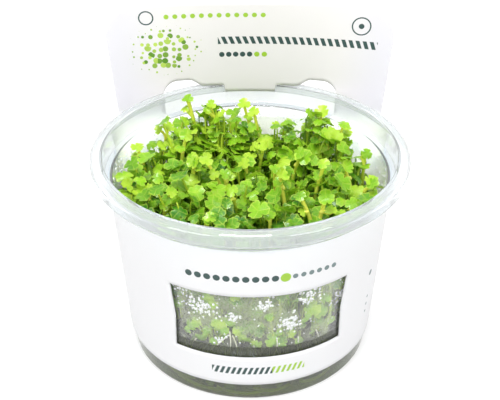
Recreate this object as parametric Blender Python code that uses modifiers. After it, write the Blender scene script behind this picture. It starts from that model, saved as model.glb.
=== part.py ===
"""A tissue culture pot of small creeping pennywort (Hydrocotyle tripartita).

A clear tapered cup with a wide flanged rim holds a bed of nutrient gel.
Plantlets with three-lobed leaves are rooted in the gel and crowd the cup up to its mouth.
One sheet of white card is wrapped round the cup. It has a window in front, and behind the cup
it rises as a header, with a slot that the flange pokes through and a tab that hooks on the rim.

Metres, +Z up. The origin is the centre of the cup's flat base, and the window faces -Y.
"""
import math

import bmesh
import bpy
import numpy as np

MM = 0.001
GAP = 0.3 * MM

# Cup
RIM_RADIUS = 50.0 * MM
RIM_HEIGHT = 69.0 * MM
SKIRT_BOTTOM = 64.8 * MM
MOUTH_RADIUS = 46.0 * MM
MOUTH_BEVEL = (0.3 * MM, 0.4 * MM)
RIM_SHOULDER = 1.6 * MM
SKIRT_CORNER = 2.0 * MM
LEDGE_HEIGHT = 62.2 * MM
LEDGE_RADIUS = 45.7 * MM
LEDGE_THICKNESS = 0.7 * MM
LEDGE_BEVEL = (0.5 * MM, 0.6 * MM)
SEAT_BEVEL = 0.5 * MM
WALL = 0.8 * MM
WALL_RADIUS_AT_BASE = 38.95 * MM
WALL_TAPER = 0.081
BASE_ROUNDING = 2.0 * MM
FLOOR_THICKNESS = 1.2 * MM
FLOOR_FILLET = 1.5 * MM
CUP_SEGMENTS = 36
ARC_STEPS = 2

# Nutrient gel
GEL_HEIGHT = 20.0 * MM
GEL_MENISCUS = 1.8 * MM
GEL_MENISCUS_WIDTH = 5.0 * MM
MENISCUS_PLACES = (0.0, 0.6, 1.0)
GEL_FILLET = 1.5 * MM
POCKET_RADIUS = 1.3 * MM
POCKET_OVERSHOOT = 5.0 * MM

# Card, measured on its outer face
CARD_THICKNESS = 0.5 * MM
CARD_BOTTOM = 7.5 * MM
CARD_TOP = 61.1 * MM
CARD_FLARE_START = 46.0 * MM
CARD_FLARE_END = 64.5 * MM
FLARE_ROW = 52.0 * MM
CARD_FLARE_FADE = (59.0, 78.0)
WINDOW_CENTRE = 4.4
WINDOW_BOTTOM = 18.8 * MM
WINDOW_TOP = 43.4 * MM
WINDOW_HALF_ANGLE = 36.9
WINDOW_SPREAD = 1.2
WINDOW_SPREAD_FADE = 40.0
SLOT_BOTTOM = 57.8 * MM
SLOT_TOP = 71.8 * MM
SLOT_HALF_WIDTH = 30.0 * MM
SLOT_ROUNDING = 5.5 * MM
SLOT_FOOT_SHARE = 0.6
SLOT_END_ANGLES = (0.0, 30.0, 60.0, 90.0)
TONGUE_BOTTOM = 69.3 * MM
TONGUE_HALF_WIDTH = 15.7 * MM
TONGUE_FLARE = 5.0 * MM
TAB_BOTTOM = 66.9 * MM
TAB_HALF_WIDTH = 8.6 * MM
TAB_STEP = 0.3 * MM
HEADER_TOP = 99.2 * MM
HEADER_HALF_WIDTH = 46.3 * MM
HEADER_SPREAD = 0.0020
HEADER_CORNER = 10.5 * MM
HEADER_CORNER_ANGLES = (0.0, 20.0, 40.0, 60.0, 75.0, 90.0)
HEADER_DEPTH_LOW = 45.0 * MM
HEADER_DEPTH_TOP = 46.5 * MM
HEADER_BEND_LOW = 120.0 * MM
HEADER_BEND_TOP = 230.0 * MM
SIDE_COLUMNS = 8
WINDOW_COLUMNS = 9
ANGLE_TOLERANCE = 0.01

# Plantlets
SEED = 41
PLANTLETS = 32
ROOT_BOTTOM = 15.5 * MM
STEM_RADIUS = 0.60 * MM
PETIOLE_RADIUS = 0.45 * MM
TUBE_SIDES = 4
PETIOLE_POINTS = 4
ROOT_SPREAD = 36.5 * MM
STEM_FOOT_RISE = 1.0 * MM
STEM_TOP = (30.0 * MM, 41.0 * MM)
STEM_LEAN = 3.0 * MM
FORK_LEVELS = (0.62, 0.9)
FORK_ANGLE = 50.0
CANOPY_HEIGHT = 57.0 * MM
CANOPY_RISE = 2.0 * MM
CANOPY_NOISE = 4.0 * MM
TALL_EVERY = 5
TALL_EXTRA = 10.0 * MM
TALL_SPREAD = 32.0 * MM
TALL_FRONT = -10.0 * MM
LEAF_RADIUS = (2.8 * MM, 3.9 * MM)
LEAF_STEP_DOWN = 3.5 * MM
LEAF_HEIGHT_NOISE = 3.0 * MM
LEAF_REACH = (2.5 * MM, 7.5 * MM)
LEAF_TILT = (8.0, 42.0)
LEAF_THICKNESS = 0.6 * MM
LEAF_NECK = 3.0 * MM
PETIOLE_PULL = 0.4
LEAF_CUP = 0.20
LEAF_LOBES = 3
LOBE_ANGLES = (0.0, 18.0, 60.0, 102.0)
LOBE_REACH = (0.42, 0.92, 1.0, 0.92)
HEADING_NOISE = 0.5
HEADING_STEP = 0.7
TRIES = 60
SAMPLE_RINGS = ((0.36, 6), (0.7, 12), (1.0, 18))
PATH_SAMPLES = 14
CLEARANCE = 1.35 * MM
WALL_CLEARANCE = 0.6 * MM

# Plain colours of the solids
CLEAR_TINT = (0.93, 0.96, 0.95)
GEL_GREEN = (0.42, 0.46, 0.34)
CARD_WHITE = (0.90, 0.90, 0.91)
LEAF_GREEN = (0.22, 0.55, 0.06)

COLLECTION = "tissue_culture_hydrocotyle"


def smoothstep(low, high, value):
    """Rise from 0 at low to 1 at high along a cubic."""
    t = min(max((value - low) / (high - low), 0.0), 1.0)
    return t * t * (3.0 - 2.0 * t)


def mix(a, b, t):
    return a + (b - a) * t


# Scene helpers

def clear_scene():
    for thing in list(bpy.data.objects):
        bpy.data.objects.remove(thing, do_unlink=True)


def new_collection(name):
    collection = bpy.data.collections.new(name)
    bpy.context.scene.collection.children.link(collection)
    return collection


def material(name, colour, roughness, metallic=0.0, transmission=0.0):
    made = bpy.data.materials.new(name)
    made.use_nodes = True
    shader = made.node_tree.nodes["Principled BSDF"]
    shader.inputs["Base Color"].default_value = (*colour, 1.0)
    shader.inputs["Roughness"].default_value = roughness
    shader.inputs["Metallic"].default_value = metallic
    shader.inputs["Transmission Weight"].default_value = transmission
    return made


def add_object(name, mesh, collection, surface=None):
    made = bpy.data.objects.new(name, mesh)
    collection.objects.link(made)
    if surface is not None:
        mesh.materials.clear()
        mesh.materials.append(surface)
    return made


def evaluated_mesh(source, name):
    """The object's mesh with its modifiers applied and coincident points welded."""
    graph = bpy.context.evaluated_depsgraph_get()
    mesh = bpy.data.meshes.new_from_object(source.evaluated_get(graph))
    mesh.name = name
    shape = bmesh.new()
    shape.from_mesh(mesh)
    bmesh.ops.remove_doubles(shape, verts=shape.verts, dist=0.000001)
    shape.to_mesh(mesh)
    shape.free()
    return mesh


def remove(thing):
    bpy.data.objects.remove(thing, do_unlink=True)


def boolean(target, tool, operation):
    step = target.modifiers.new(operation.lower(), "BOOLEAN")
    step.operation = operation
    step.solver = "EXACT"
    step.object = tool


def turned(name, profile, segments, collection, surface):
    """A profile of (radius, height) points, turned round the Z axis by a Screw modifier."""
    mesh = bpy.data.meshes.new(name)
    points = [(radius, 0.0, height) for radius, height in profile]
    edges = [(i, i + 1) for i in range(len(points) - 1)]
    mesh.from_pydata(points, edges, [])
    made = add_object(name, mesh, collection, surface)
    screw = made.modifiers.new("turn", "SCREW")
    screw.axis = "Z"
    screw.angle = math.tau
    screw.steps = segments
    screw.render_steps = segments
    screw.use_merge_vertices = True
    screw.merge_threshold = 0.00001
    screw.use_smooth_shade = True
    return made


def arc(centre, radius, start, end, count):
    """Points on an arc of a (radius, height) profile, angles in degrees."""
    points = []
    for i in range(count + 1):
        angle = math.radians(mix(start, end, i / count))
        points.append((centre[0] + radius * math.cos(angle), centre[1] + radius * math.sin(angle)))
    return points


# Cup

def cup_outside(height):
    return WALL_RADIUS_AT_BASE + WALL_TAPER * height


def cup_inside(height):
    return cup_outside(height) - WALL


def cup_profile():
    """Inner floor, inner wall, lid seat, flange with its skirt, outer wall and base."""
    fillet_top = FLOOR_THICKNESS + FLOOR_FILLET
    fillet_centre = (cup_inside(fillet_top) - FLOOR_FILLET, fillet_top)
    seat_foot = LEDGE_HEIGHT - SEAT_BEVEL
    ledge_under = LEDGE_HEIGHT - LEDGE_THICKNESS
    shoulder_centre = (RIM_RADIUS - RIM_SHOULDER, RIM_HEIGHT - RIM_SHOULDER)
    corner = (cup_outside(BASE_ROUNDING) - BASE_ROUNDING, BASE_ROUNDING)
    inner = [(0.0, FLOOR_THICKNESS)] + arc(fillet_centre, FLOOR_FILLET, -90.0, 0.0, ARC_STEPS)
    inner += [
        (cup_inside(seat_foot), seat_foot),
        (cup_inside(seat_foot) + SEAT_BEVEL, LEDGE_HEIGHT),
        (LEDGE_RADIUS, LEDGE_HEIGHT),
        (MOUTH_RADIUS, RIM_HEIGHT - MOUTH_BEVEL[1]),
        (MOUTH_RADIUS + MOUTH_BEVEL[0], RIM_HEIGHT),
    ]
    outer = arc(shoulder_centre, RIM_SHOULDER, 90.0, 0.0, ARC_STEPS)
    outer += [
        (RIM_RADIUS, SKIRT_BOTTOM),
        (RIM_RADIUS - WALL, SKIRT_BOTTOM),
        (RIM_RADIUS - WALL, RIM_HEIGHT - SKIRT_CORNER),
        (RIM_RADIUS - SKIRT_CORNER, RIM_HEIGHT - WALL),
        (MOUTH_RADIUS + WALL, RIM_HEIGHT - WALL),
        (LEDGE_RADIUS + WALL, ledge_under + LEDGE_BEVEL[1]),
        (LEDGE_RADIUS + WALL - LEDGE_BEVEL[0], ledge_under),
        (cup_outside(LEDGE_HEIGHT), ledge_under),
    ]
    base = arc(corner, BASE_ROUNDING, 0.0, -90.0, ARC_STEPS)
    return inner + outer + base + [(0.0, 0.0)]


def make_cup(parts):
    plastic = material("clear_plastic", CLEAR_TINT, 0.08, transmission=0.9)
    return turned("cup", cup_profile(), CUP_SEGMENTS, parts, plastic)


# Gel

def gel_profile():
    """Flat top with a meniscus that climbs the wall, straight side and filleted foot."""
    top_edge = GEL_HEIGHT + GEL_MENISCUS
    edge_radius = cup_inside(top_edge) - GAP
    profile = [(0.0, GEL_HEIGHT)]
    for t in MENISCUS_PLACES:
        radius = edge_radius - GEL_MENISCUS_WIDTH * (1.0 - t)
        profile.append((radius, GEL_HEIGHT + GEL_MENISCUS * t * t))
    foot = FLOOR_THICKNESS + GAP
    fillet_top = foot + GEL_FILLET
    centre = (cup_inside(fillet_top) - GAP - GEL_FILLET, fillet_top)
    return profile + arc(centre, GEL_FILLET, 0.0, -90.0, ARC_STEPS) + [(0.0, foot)]


def make_gel(parts, cutters, roots):
    """The gel, with a pocket bored clear of each root."""
    jelly = material("nutrient_gel", GEL_GREEN, 0.25, transmission=0.5)
    shape = bmesh.new()
    depth = GEL_HEIGHT - ROOT_BOTTOM + POCKET_OVERSHOOT
    for x, y in roots:
        made = bmesh.ops.create_cone(
            shape, cap_ends=True, segments=TUBE_SIDES, radius1=POCKET_RADIUS, radius2=POCKET_RADIUS,
            depth=depth)
        centre = (x, y, ROOT_BOTTOM - GAP + depth / 2)
        bmesh.ops.translate(shape, verts=made["verts"], vec=centre)
    mesh = bpy.data.meshes.new("root_pockets")
    shape.to_mesh(mesh)
    shape.free()
    pockets = add_object("root_pockets", mesh, cutters)
    pockets.hide_render = True
    pockets.display_type = "WIRE"
    gel = turned("gel", gel_profile(), CUP_SEGMENTS, parts, jelly)
    boolean(gel, pockets, "DIFFERENCE")
    return gel


# Card

def card_radius(height):
    """The card's outer face where it lies on the cup."""
    return cup_outside(height) + GAP + CARD_THICKNESS


def card_point(angle, height):
    """A point of the card's outer face, by its angle from the back in degrees and its height.

    Low down the card lies on the cup's cone. Towards the header its bend opens out, so that
    the header is nearly flat and passes outside the flange on both sides of the slot.
    """
    on_cup = card_radius(min(height, CARD_TOP))
    fade = 1.0 - smoothstep(*CARD_FLARE_FADE, abs(angle))
    flare = smoothstep(CARD_FLARE_START, CARD_FLARE_END, height) * fade
    up = max(height - CARD_FLARE_END, 0.0) / (HEADER_TOP - CARD_FLARE_END)
    header_bend = mix(1.0 / HEADER_BEND_LOW, 1.0 / HEADER_BEND_TOP, up)
    bend = mix(1.0 / on_cup, header_bend, flare)
    depth = mix(on_cup, mix(HEADER_DEPTH_LOW, HEADER_DEPTH_TOP, up), flare)
    widening = 1.0 + HEADER_SPREAD * max(height - CARD_FLARE_END, 0.0) / MM
    turn = math.radians(angle) * on_cup * widening * bend
    return (math.sin(turn) / bend, depth - (1.0 - math.cos(turn)) / bend, height)


def angle_at(width):
    """The angle from the back of a point this far along the card, at the sleeve's top."""
    return math.degrees(width / card_radius(CARD_TOP))


def slot_edges(width):
    """Bottom and top of the slot, this far along the card from its middle."""
    past = max(abs(width) - (SLOT_HALF_WIDTH - SLOT_ROUNDING), 0.0)
    drop = SLOT_ROUNDING - math.sqrt(max(SLOT_ROUNDING ** 2 - past ** 2, 0.0))
    if abs(width) <= TAB_HALF_WIDTH:
        top = TAB_BOTTOM
    elif abs(width) <= TONGUE_HALF_WIDTH:
        top = TONGUE_BOTTOM
    else:
        rise = smoothstep(TONGUE_HALF_WIDTH, TONGUE_HALF_WIDTH + TONGUE_FLARE, abs(width))
        top = mix(TONGUE_BOTTOM, SLOT_TOP, rise)
    return SLOT_BOTTOM + SLOT_FOOT_SHARE * drop, top - drop


def header_top(width):
    past = max(abs(width) - (HEADER_HALF_WIDTH - HEADER_CORNER), 0.0)
    return HEADER_TOP - HEADER_CORNER + math.sqrt(max(HEADER_CORNER ** 2 - past ** 2, 0.0))


def round_places(end, radius, angles):
    """Places along a quarter arc of this radius that stops at end."""
    return [end - radius * (1.0 - math.sin(math.radians(angle))) for angle in angles]


def header_widths():
    """Places along the header's right half where the grid has a column."""
    return [
        0.0, TAB_HALF_WIDTH, TAB_HALF_WIDTH + TAB_STEP, TONGUE_HALF_WIDTH,
        TONGUE_HALF_WIDTH + TONGUE_FLARE / 2, TONGUE_HALF_WIDTH + TONGUE_FLARE,
        *round_places(SLOT_HALF_WIDTH, SLOT_ROUNDING, SLOT_END_ANGLES),
        *round_places(HEADER_HALF_WIDTH, HEADER_CORNER, HEADER_CORNER_ANGLES)]


def header_rows(width):
    """Heights of the card's rows above the sleeve band, for a column of the header."""
    if abs(width) <= SLOT_HALF_WIDTH + TAB_STEP:
        low, high = slot_edges(min(abs(width), SLOT_HALF_WIDTH))
    else:
        low, high = CARD_TOP, SLOT_TOP - SLOT_ROUNDING
    top = header_top(width)
    return [low, high, mix(high, top, 0.5), top]


def window_shift(angle, height):
    """How far a column leans, in degrees, so that the window narrows towards its foot."""
    side = (angle - 180.0 + WINDOW_CENTRE) % 360.0
    side = side - 360.0 if side > 180.0 else side
    reach = min(abs(side) / WINDOW_HALF_ANGLE, 1.0)
    reach *= max(0.0, 1.0 - max(abs(side) - WINDOW_HALF_ANGLE, 0.0) / WINDOW_SPREAD_FADE)
    middle = (WINDOW_BOTTOM + WINDOW_TOP) / 2
    slope = (height - middle) / (WINDOW_TOP - middle)
    return math.copysign(WINDOW_SPREAD * reach * min(max(slope, -1.0), 1.0), side)


def card_columns():
    """All columns of the card, by angle from the back, with the header's widths."""
    half = header_widths()
    widths = [-w for w in reversed(half[1:])] + half
    columns = [(angle_at(w), w) for w in widths]
    window_middle = 180.0 - WINDOW_CENTRE
    window_left = window_middle - WINDOW_HALF_ANGLE
    window_right = window_middle + WINDOW_HALF_ANGLE
    header_end = angle_at(HEADER_HALF_WIDTH)
    for start, end, count in (
            (header_end, window_left, SIDE_COLUMNS),
            (window_left, window_right, WINDOW_COLUMNS),
            (window_right, 360.0 - header_end, SIDE_COLUMNS)):
        first = 1 if start == header_end else 0
        for i in range(first, count):
            columns.append((mix(start, end, i / count), None))
    return columns, window_left, window_right


def card_grid():
    """Corner points and faces of the card's outer face, less the window and the slot."""
    columns, window_left, window_right = card_columns()
    window_start = window_left - ANGLE_TOLERANCE
    window_end = window_right - ANGLE_TOLERANCE
    sleeve = [CARD_BOTTOM, WINDOW_BOTTOM, WINDOW_TOP, FLARE_ROW]
    points = []
    index = []
    for angle, width in columns:
        rows = sleeve + (header_rows(width) if width is not None else [CARD_TOP])
        index.append(list(range(len(points), len(points) + len(rows))))
        for height in rows:
            turned_by = angle + window_shift(angle, height) if width is None else angle
            signed = turned_by if turned_by <= 180.0 else turned_by - 360.0
            points.append(card_point(signed, height))
    faces = []
    for i, (angle, width) in enumerate(columns):
        j = (i + 1) % len(columns)
        right_width = columns[j][1]
        shared = min(len(index[i]), len(index[j]))
        for k in range(shared - 1):
            in_window = k == 1 and window_start <= angle < window_end
            in_slot = (k == len(sleeve) and width is not None and right_width is not None
                       and max(abs(width), abs(right_width)) <= SLOT_HALF_WIDTH)
            if not in_window and not in_slot:
                faces.append((index[i][k], index[i][k + 1], index[j][k + 1], index[j][k]))
    return points, faces


def make_card(parts):
    """The sleeve and header, cut from one sheet."""
    paper = material("white_card", CARD_WHITE, 0.45)
    points, faces = card_grid()
    mesh = bpy.data.meshes.new("card_sleeve")
    mesh.from_pydata(points, [], faces)
    card = add_object("card_sleeve", mesh, parts, paper)
    thickness = card.modifiers.new("thickness", "SOLIDIFY")
    thickness.thickness = CARD_THICKNESS
    thickness.offset = -1.0
    return card


# Plantlet layout

def unit(vector):
    return vector / np.linalg.norm(vector)


def leaf_axes(normal, spin):
    """Two directions in the blade's plane, at right angles to its normal."""
    side = unit(np.cross(normal, (math.cos(spin), math.sin(spin), 0.0)))
    return side, np.cross(normal, side)


def leaf_samples(leaf):
    """Points spread over a blade, to test its distance from other plantlets."""
    side, across = leaf_axes(leaf["normal"], leaf["spin"])
    points = [leaf["centre"]]
    for ring, count in SAMPLE_RINGS:
        angle = np.arange(count) * math.tau / count
        flat = np.outer(np.cos(angle), side) + np.outer(np.sin(angle), across)
        lift = LEAF_CUP * ring * ring * leaf["radius"] * leaf["normal"]
        points.extend(leaf["centre"] + ring * leaf["radius"] * flat + lift)
    return np.array(points)


def curve_path(start, leaving, arriving, end, count):
    """A cubic curve that leaves its start and reaches its end in the two given pulls."""
    t = np.linspace(0.0, 1.0, count)[:, None]
    first = 3 * t * (1 - t) ** 2 * (start + leaving)
    second = 3 * t ** 2 * (1 - t) * (end - arriving)
    return (1 - t) ** 3 * start + first + second + t ** 3 * end


def inside_cup(points):
    """True if all points are clear of the cup's wall."""
    radius = np.hypot(points[:, 0], points[:, 1])
    height = np.minimum(points[:, 2], LEDGE_HEIGHT)
    limit = cup_inside(height) - WALL_CLEARANCE
    return bool(np.all(radius < limit))


def canopy_height(x, y, draw):
    """Where a plantlet's leaves stand: a level carpet, a little higher towards the back."""
    slope = CANOPY_RISE * y / ROOT_SPREAD
    return CANOPY_HEIGHT + slope + draw.uniform(-CANOPY_NOISE, CANOPY_NOISE)


def draw_leaf(node, goal, heading, leaning, draw):
    """One leaf on its petiole, drawn at random round the stem.

    The petiole leaves the stem at the angle leaning from the vertical, and it meets the
    blade's underside squarely.
    """
    reach = draw.uniform(*LEAF_REACH)
    outward = np.array((math.cos(heading), math.sin(heading), 0.0))
    upward = np.array((0.0, 0.0, 1.0))
    centre = node + reach * outward
    centre[2] = goal + draw.uniform(-LEAF_HEIGHT_NOISE, LEAF_HEIGHT_NOISE)
    tilt = math.radians(draw.uniform(*LEAF_TILT))
    normal = math.sin(tilt) * outward + math.cos(tilt) * upward
    leaning = math.radians(leaning)
    leaving = math.sin(leaning) * outward + math.cos(leaning) * upward
    length = PETIOLE_PULL * np.linalg.norm(centre - node)
    petiole = curve_path(node, length * leaving, LEAF_NECK * normal, centre, PETIOLE_POINTS)
    return {
        "centre": centre, "normal": normal, "spin": draw.uniform(0.0, math.tau),
        "radius": draw.uniform(*LEAF_RADIUS), "petiole": petiole}


def clear_of(points, others):
    if not len(others):
        return True
    apart = np.linalg.norm(points[:, None, :] - others[None, :, :], axis=2)
    return float(apart.min()) > CLEARANCE


def finely(path, count=PATH_SAMPLES):
    """The same path with more points, for distance tests."""
    t = np.linspace(0.0, len(path) - 1.0, count)
    low = np.minimum(t.astype(int), len(path) - 2)
    return path[low] + (t - low)[:, None] * (path[low + 1] - path[low])


def draw_stem(x, y, draw):
    """An upright root in its pocket, then a stem that leans a little as it climbs."""
    lean = draw.uniform(-STEM_LEAN, STEM_LEAN, 2)
    return np.array((
        (x, y, ROOT_BOTTOM),
        (x, y, GEL_HEIGHT + STEM_FOOT_RISE),
        (x + lean[0], y + lean[1], draw.uniform(*STEM_TOP))))


def grow(number, draw, taken):
    """A plantlet at its place in a sunflower spiral, clear of those already grown.

    Its first leaf ends the stem, and the others branch from the stem's sides.
    """
    spread = ROOT_SPREAD * math.sqrt((number + 0.5) / PLANTLETS)
    turn = number * math.pi * (3.0 - math.sqrt(5.0))
    x = spread * math.cos(turn)
    y = spread * math.sin(turn)
    stem = draw_stem(x, y, draw)
    samples = [finely(stem)]
    goal = canopy_height(x, y, draw)
    tall = number % TALL_EVERY == 2 and y > TALL_FRONT and spread < TALL_SPREAD
    leaves = []
    wanted = 3 if number % 2 else 2
    for k in range(wanted):
        level = goal + (TALL_EXTRA if tall and k == 0 else 0.0) - k * LEAF_STEP_DOWN
        heading = turn + k * math.tau / wanted + draw.uniform(-HEADING_NOISE, HEADING_NOISE)
        fork = stem[-1] if k == 0 else mix(stem[-2], stem[-1], FORK_LEVELS[k - 1])
        for _ in range(TRIES):
            leaf = draw_leaf(fork, level, heading, 0.0 if k == 0 else FORK_ANGLE, draw)
            heading += HEADING_STEP
            spots = np.vstack((leaf_samples(leaf), finely(leaf["petiole"])))
            if inside_cup(spots) and clear_of(spots, taken):
                leaves.append(leaf)
                samples.append(spots)
                break
        if not leaves:
            break
    return {"root": (x, y), "stem": stem, "leaves": leaves}, np.vstack(samples)


def plant_layout():
    """Every plantlet's stem, petioles and leaves, none touching another plantlet's."""
    draw = np.random.default_rng(SEED)
    taken = np.empty((0, 3))
    plantlets = []
    for number in range(PLANTLETS):
        plantlet, samples = grow(number, draw, taken)
        if plantlet["leaves"]:
            plantlets.append(plantlet)
            taken = np.vstack((taken, samples))
    return plantlets


# Plantlet solids

def tube_rings(path, radii, side):
    """Rings of points round a path. The direction side is carried down from the path's end."""
    tangents = np.gradient(path, axis=0)
    rings = []
    for place, tangent, radius in zip(path[::-1], tangents[::-1], radii[::-1]):
        along = unit(tangent)
        side = unit(side - np.dot(side, along) * along)
        across = np.cross(along, side)
        angle = np.arange(TUBE_SIDES) * math.tau / TUBE_SIDES
        rings.append(place + radius * (np.outer(np.cos(angle), side)
                                       + np.outer(np.sin(angle), across)))
    return rings[::-1]


def blade_rim(leaf):
    """The lobed outline of a blade, lifted towards its rim like a shallow cup."""
    side, across = leaf_axes(leaf["normal"], leaf["spin"])
    points = []
    for lobe in range(LEAF_LOBES):
        for place, reach in zip(LOBE_ANGLES, LOBE_REACH):
            angle = math.radians(lobe * 360.0 / LEAF_LOBES + place)
            flat = math.cos(angle) * side + math.sin(angle) * across
            lift = LEAF_CUP * reach * leaf["normal"]
            points.append(leaf["centre"] + reach * leaf["radius"] * (flat + lift))
    return points


def leaf_mesh(name, leaf, path, radii):
    """A petiole that opens out into its blade, as one closed loft from tube to lobed rim."""
    side, across = leaf_axes(leaf["normal"], leaf["spin"])
    rings = tube_rings(path, radii, side)
    underside = leaf["centre"] - 0.5 * LEAF_THICKNESS * leaf["normal"]
    angle = np.arange(TUBE_SIDES) * math.tau / TUBE_SIDES
    rings[-1] = underside + radii[-1] * (np.outer(np.cos(angle), side)
                                         + np.outer(np.sin(angle), across))
    rim = blade_rim(leaf)
    shape = bmesh.new()
    tube = [[shape.verts.new(point) for point in ring] for ring in rings]
    edge = [shape.verts.new(point) for point in rim]
    crown = shape.verts.new(leaf["centre"] + 0.5 * LEAF_THICKNESS * leaf["normal"])
    shape.faces.new(tube[0])
    for low, high in zip(tube, tube[1:]):
        for k in range(TUBE_SIDES):
            n = (k + 1) % TUBE_SIDES
            shape.faces.new((low[k], low[n], high[n], high[k]))
    for j, vertex in enumerate(edge):
        following = edge[(j + 1) % len(edge)]
        shape.faces.new((vertex, following, crown))
        here = j * TUBE_SIDES // len(edge)
        after = (j + 1) * TUBE_SIDES // len(edge)
        shape.faces.new((vertex, tube[-1][here], following))
        if after != here:
            shape.faces.new((following, tube[-1][here], tube[-1][after % TUBE_SIDES]))
    bmesh.ops.recalc_face_normals(shape, faces=shape.faces)
    mesh = bpy.data.meshes.new(name)
    shape.to_mesh(mesh)
    shape.free()
    return mesh


def make_plantlet(name, plantlet, parts, cutters, surface):
    """The stem with its last leaf, and the side leaves joined to it, in one solid."""
    leaves = plantlet["leaves"]
    path = np.vstack((plantlet["stem"], leaves[0]["petiole"][1:]))
    radii = np.linspace(STEM_RADIUS, PETIOLE_RADIUS, len(path))
    body = add_object(name, leaf_mesh(name, leaves[0], path, radii), parts)
    limbs = []
    for leaf in leaves[1:]:
        petiole = leaf["petiole"]
        mesh = leaf_mesh("side_leaf", leaf, petiole, np.full(len(petiole), PETIOLE_RADIUS))
        limbs.append(add_object("side_leaf", mesh, cutters))
    for limb in limbs:
        boolean(body, limb, "UNION")
    joined = evaluated_mesh(body, name)
    remove(body)
    for limb in limbs:
        remove(limb)
    add_object(name, joined, parts, surface)


def make_plantlets(parts, cutters, plantlets):
    green = material("pennywort_leaf", LEAF_GREEN, 0.45)
    for number, plantlet in enumerate(plantlets, 1):
        make_plantlet(f"plantlet_{number:02d}", plantlet, parts, cutters, green)


def main():
    clear_scene()
    parts = new_collection(COLLECTION)
    cutters = new_collection("cutters")
    plantlets = plant_layout()
    make_cup(parts)
    make_gel(parts, cutters, [plantlet["root"] for plantlet in plantlets])
    make_card(parts)
    make_plantlets(parts, cutters, plantlets)


main()
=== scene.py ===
"""Looks of a tissue culture pot of small creeping pennywort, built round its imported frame.

It is laid out as a Blender add-on and run as a script. Each operator builds one piece or one
group of like pieces, and main() calls them in order. Metres, +Z up, the window faces -Y.
"""

import math

import bpy
import numpy as np
from bpy.props import FloatProperty, FloatVectorProperty, IntProperty, PointerProperty
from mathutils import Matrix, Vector


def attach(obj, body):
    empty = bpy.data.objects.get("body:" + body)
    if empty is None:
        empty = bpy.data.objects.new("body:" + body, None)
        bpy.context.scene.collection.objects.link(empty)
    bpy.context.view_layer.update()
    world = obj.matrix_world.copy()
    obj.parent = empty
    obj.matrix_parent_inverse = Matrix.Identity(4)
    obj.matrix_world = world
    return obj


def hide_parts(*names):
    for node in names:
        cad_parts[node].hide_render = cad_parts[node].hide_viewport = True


bl_info = {
    "name": "Tissue culture pennywort pot",
    "version": (1, 0, 0),
    "blender": (4, 5, 0),
    "location": "3D View > Sidebar > Pennywort pot",
    "description": "Builds the cup, gel, card, plants and studio of a tissue culture pot",
    "category": "Add Mesh",
}

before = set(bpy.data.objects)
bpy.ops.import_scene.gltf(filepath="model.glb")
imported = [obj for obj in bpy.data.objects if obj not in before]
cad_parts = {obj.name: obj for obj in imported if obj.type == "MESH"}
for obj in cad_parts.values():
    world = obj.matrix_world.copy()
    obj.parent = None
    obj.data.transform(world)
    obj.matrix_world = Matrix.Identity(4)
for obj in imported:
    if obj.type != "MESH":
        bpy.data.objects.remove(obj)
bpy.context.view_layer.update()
PLANTLET_NODES = sorted(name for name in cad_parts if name.startswith("plantlet_"))

MM = 0.001
GAP = 0.3 * MM

# Cup
RIM_RADIUS = 50.0 * MM
RIM_HEIGHT = 69.0 * MM
SKIRT_BOTTOM = 64.8 * MM
MOUTH_RADIUS = 46.0 * MM
RIM_SHOULDER = 1.6 * MM
LEDGE_HEIGHT = 62.2 * MM
LEDGE_RADIUS = 45.7 * MM
LEDGE_THICKNESS = 0.7 * MM
WALL = 0.8 * MM
WALL_RADIUS_AT_BASE = 38.95 * MM
WALL_TAPER = 0.081
BASE_ROUNDING = 2.0 * MM
FLOOR_THICKNESS = 1.2 * MM
FLOOR_FILLET = 1.5 * MM
EDGE_ROUNDING = 0.2 * MM
CORNER_ROUNDING = 0.4 * MM
ROUNDING_STEPS = 4
RIM_LOOK_FROM = LEDGE_HEIGHT - 0.6 * MM

# Nutrient gel
GEL_HEIGHT = 20.0 * MM
GEL_MENISCUS = 1.8 * MM
GEL_MENISCUS_WIDTH = 5.0 * MM
WETTED_SKIN = 0.4 * MM
GEL_UNEVENNESS = 0.25 * MM

# Card, measured on its outer face
CARD_THICKNESS = 0.5 * MM
CARD_BOTTOM = 7.5 * MM
CARD_TOP = 61.1 * MM
CARD_FLARE_START = 46.0 * MM
CARD_FLARE_END = 64.5 * MM
FLARE_ROW = 52.0 * MM
CARD_FLARE_FADE = (59.0, 78.0)
WINDOW_CENTRE = 4.4
WINDOW_BOTTOM = 18.8 * MM
WINDOW_TOP = 43.4 * MM
WINDOW_HALF_ANGLE = 36.9
WINDOW_LEFT = 180.0 - WINDOW_CENTRE - WINDOW_HALF_ANGLE
WINDOW_RIGHT = 180.0 - WINDOW_CENTRE + WINDOW_HALF_ANGLE
WINDOW_SPREAD = 1.2
WINDOW_SPREAD_FADE = 40.0
SLOT_BOTTOM = 57.8 * MM
SLOT_TOP = 71.8 * MM
SLOT_HALF_WIDTH = 30.0 * MM
SLOT_ROUNDING = 5.5 * MM
SLOT_FOOT_SHARE = 0.6
TONGUE_BOTTOM = 69.3 * MM
TONGUE_HALF_WIDTH = 15.7 * MM
TONGUE_FLARE = 5.0 * MM
TAB_BOTTOM = 66.9 * MM
TAB_HALF_WIDTH = 8.6 * MM
TAB_STEP = 0.3 * MM
HEADER_TOP = 99.2 * MM
HEADER_HALF_WIDTH = 46.3 * MM
HEADER_SPREAD = 0.0020
HEADER_CORNER = 10.5 * MM
HEADER_DEPTH_LOW = 45.0 * MM
HEADER_DEPTH_TOP = 46.5 * MM
HEADER_BEND_LOW = 120.0 * MM
HEADER_BEND_TOP = 230.0 * MM
HEADER_PRINT_FROM = 64.0 * MM
GRID_SLACK_DEGREES = 0.01
GRID_SLACK = 0.01 * MM
SIDE_COLUMNS = 36
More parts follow.
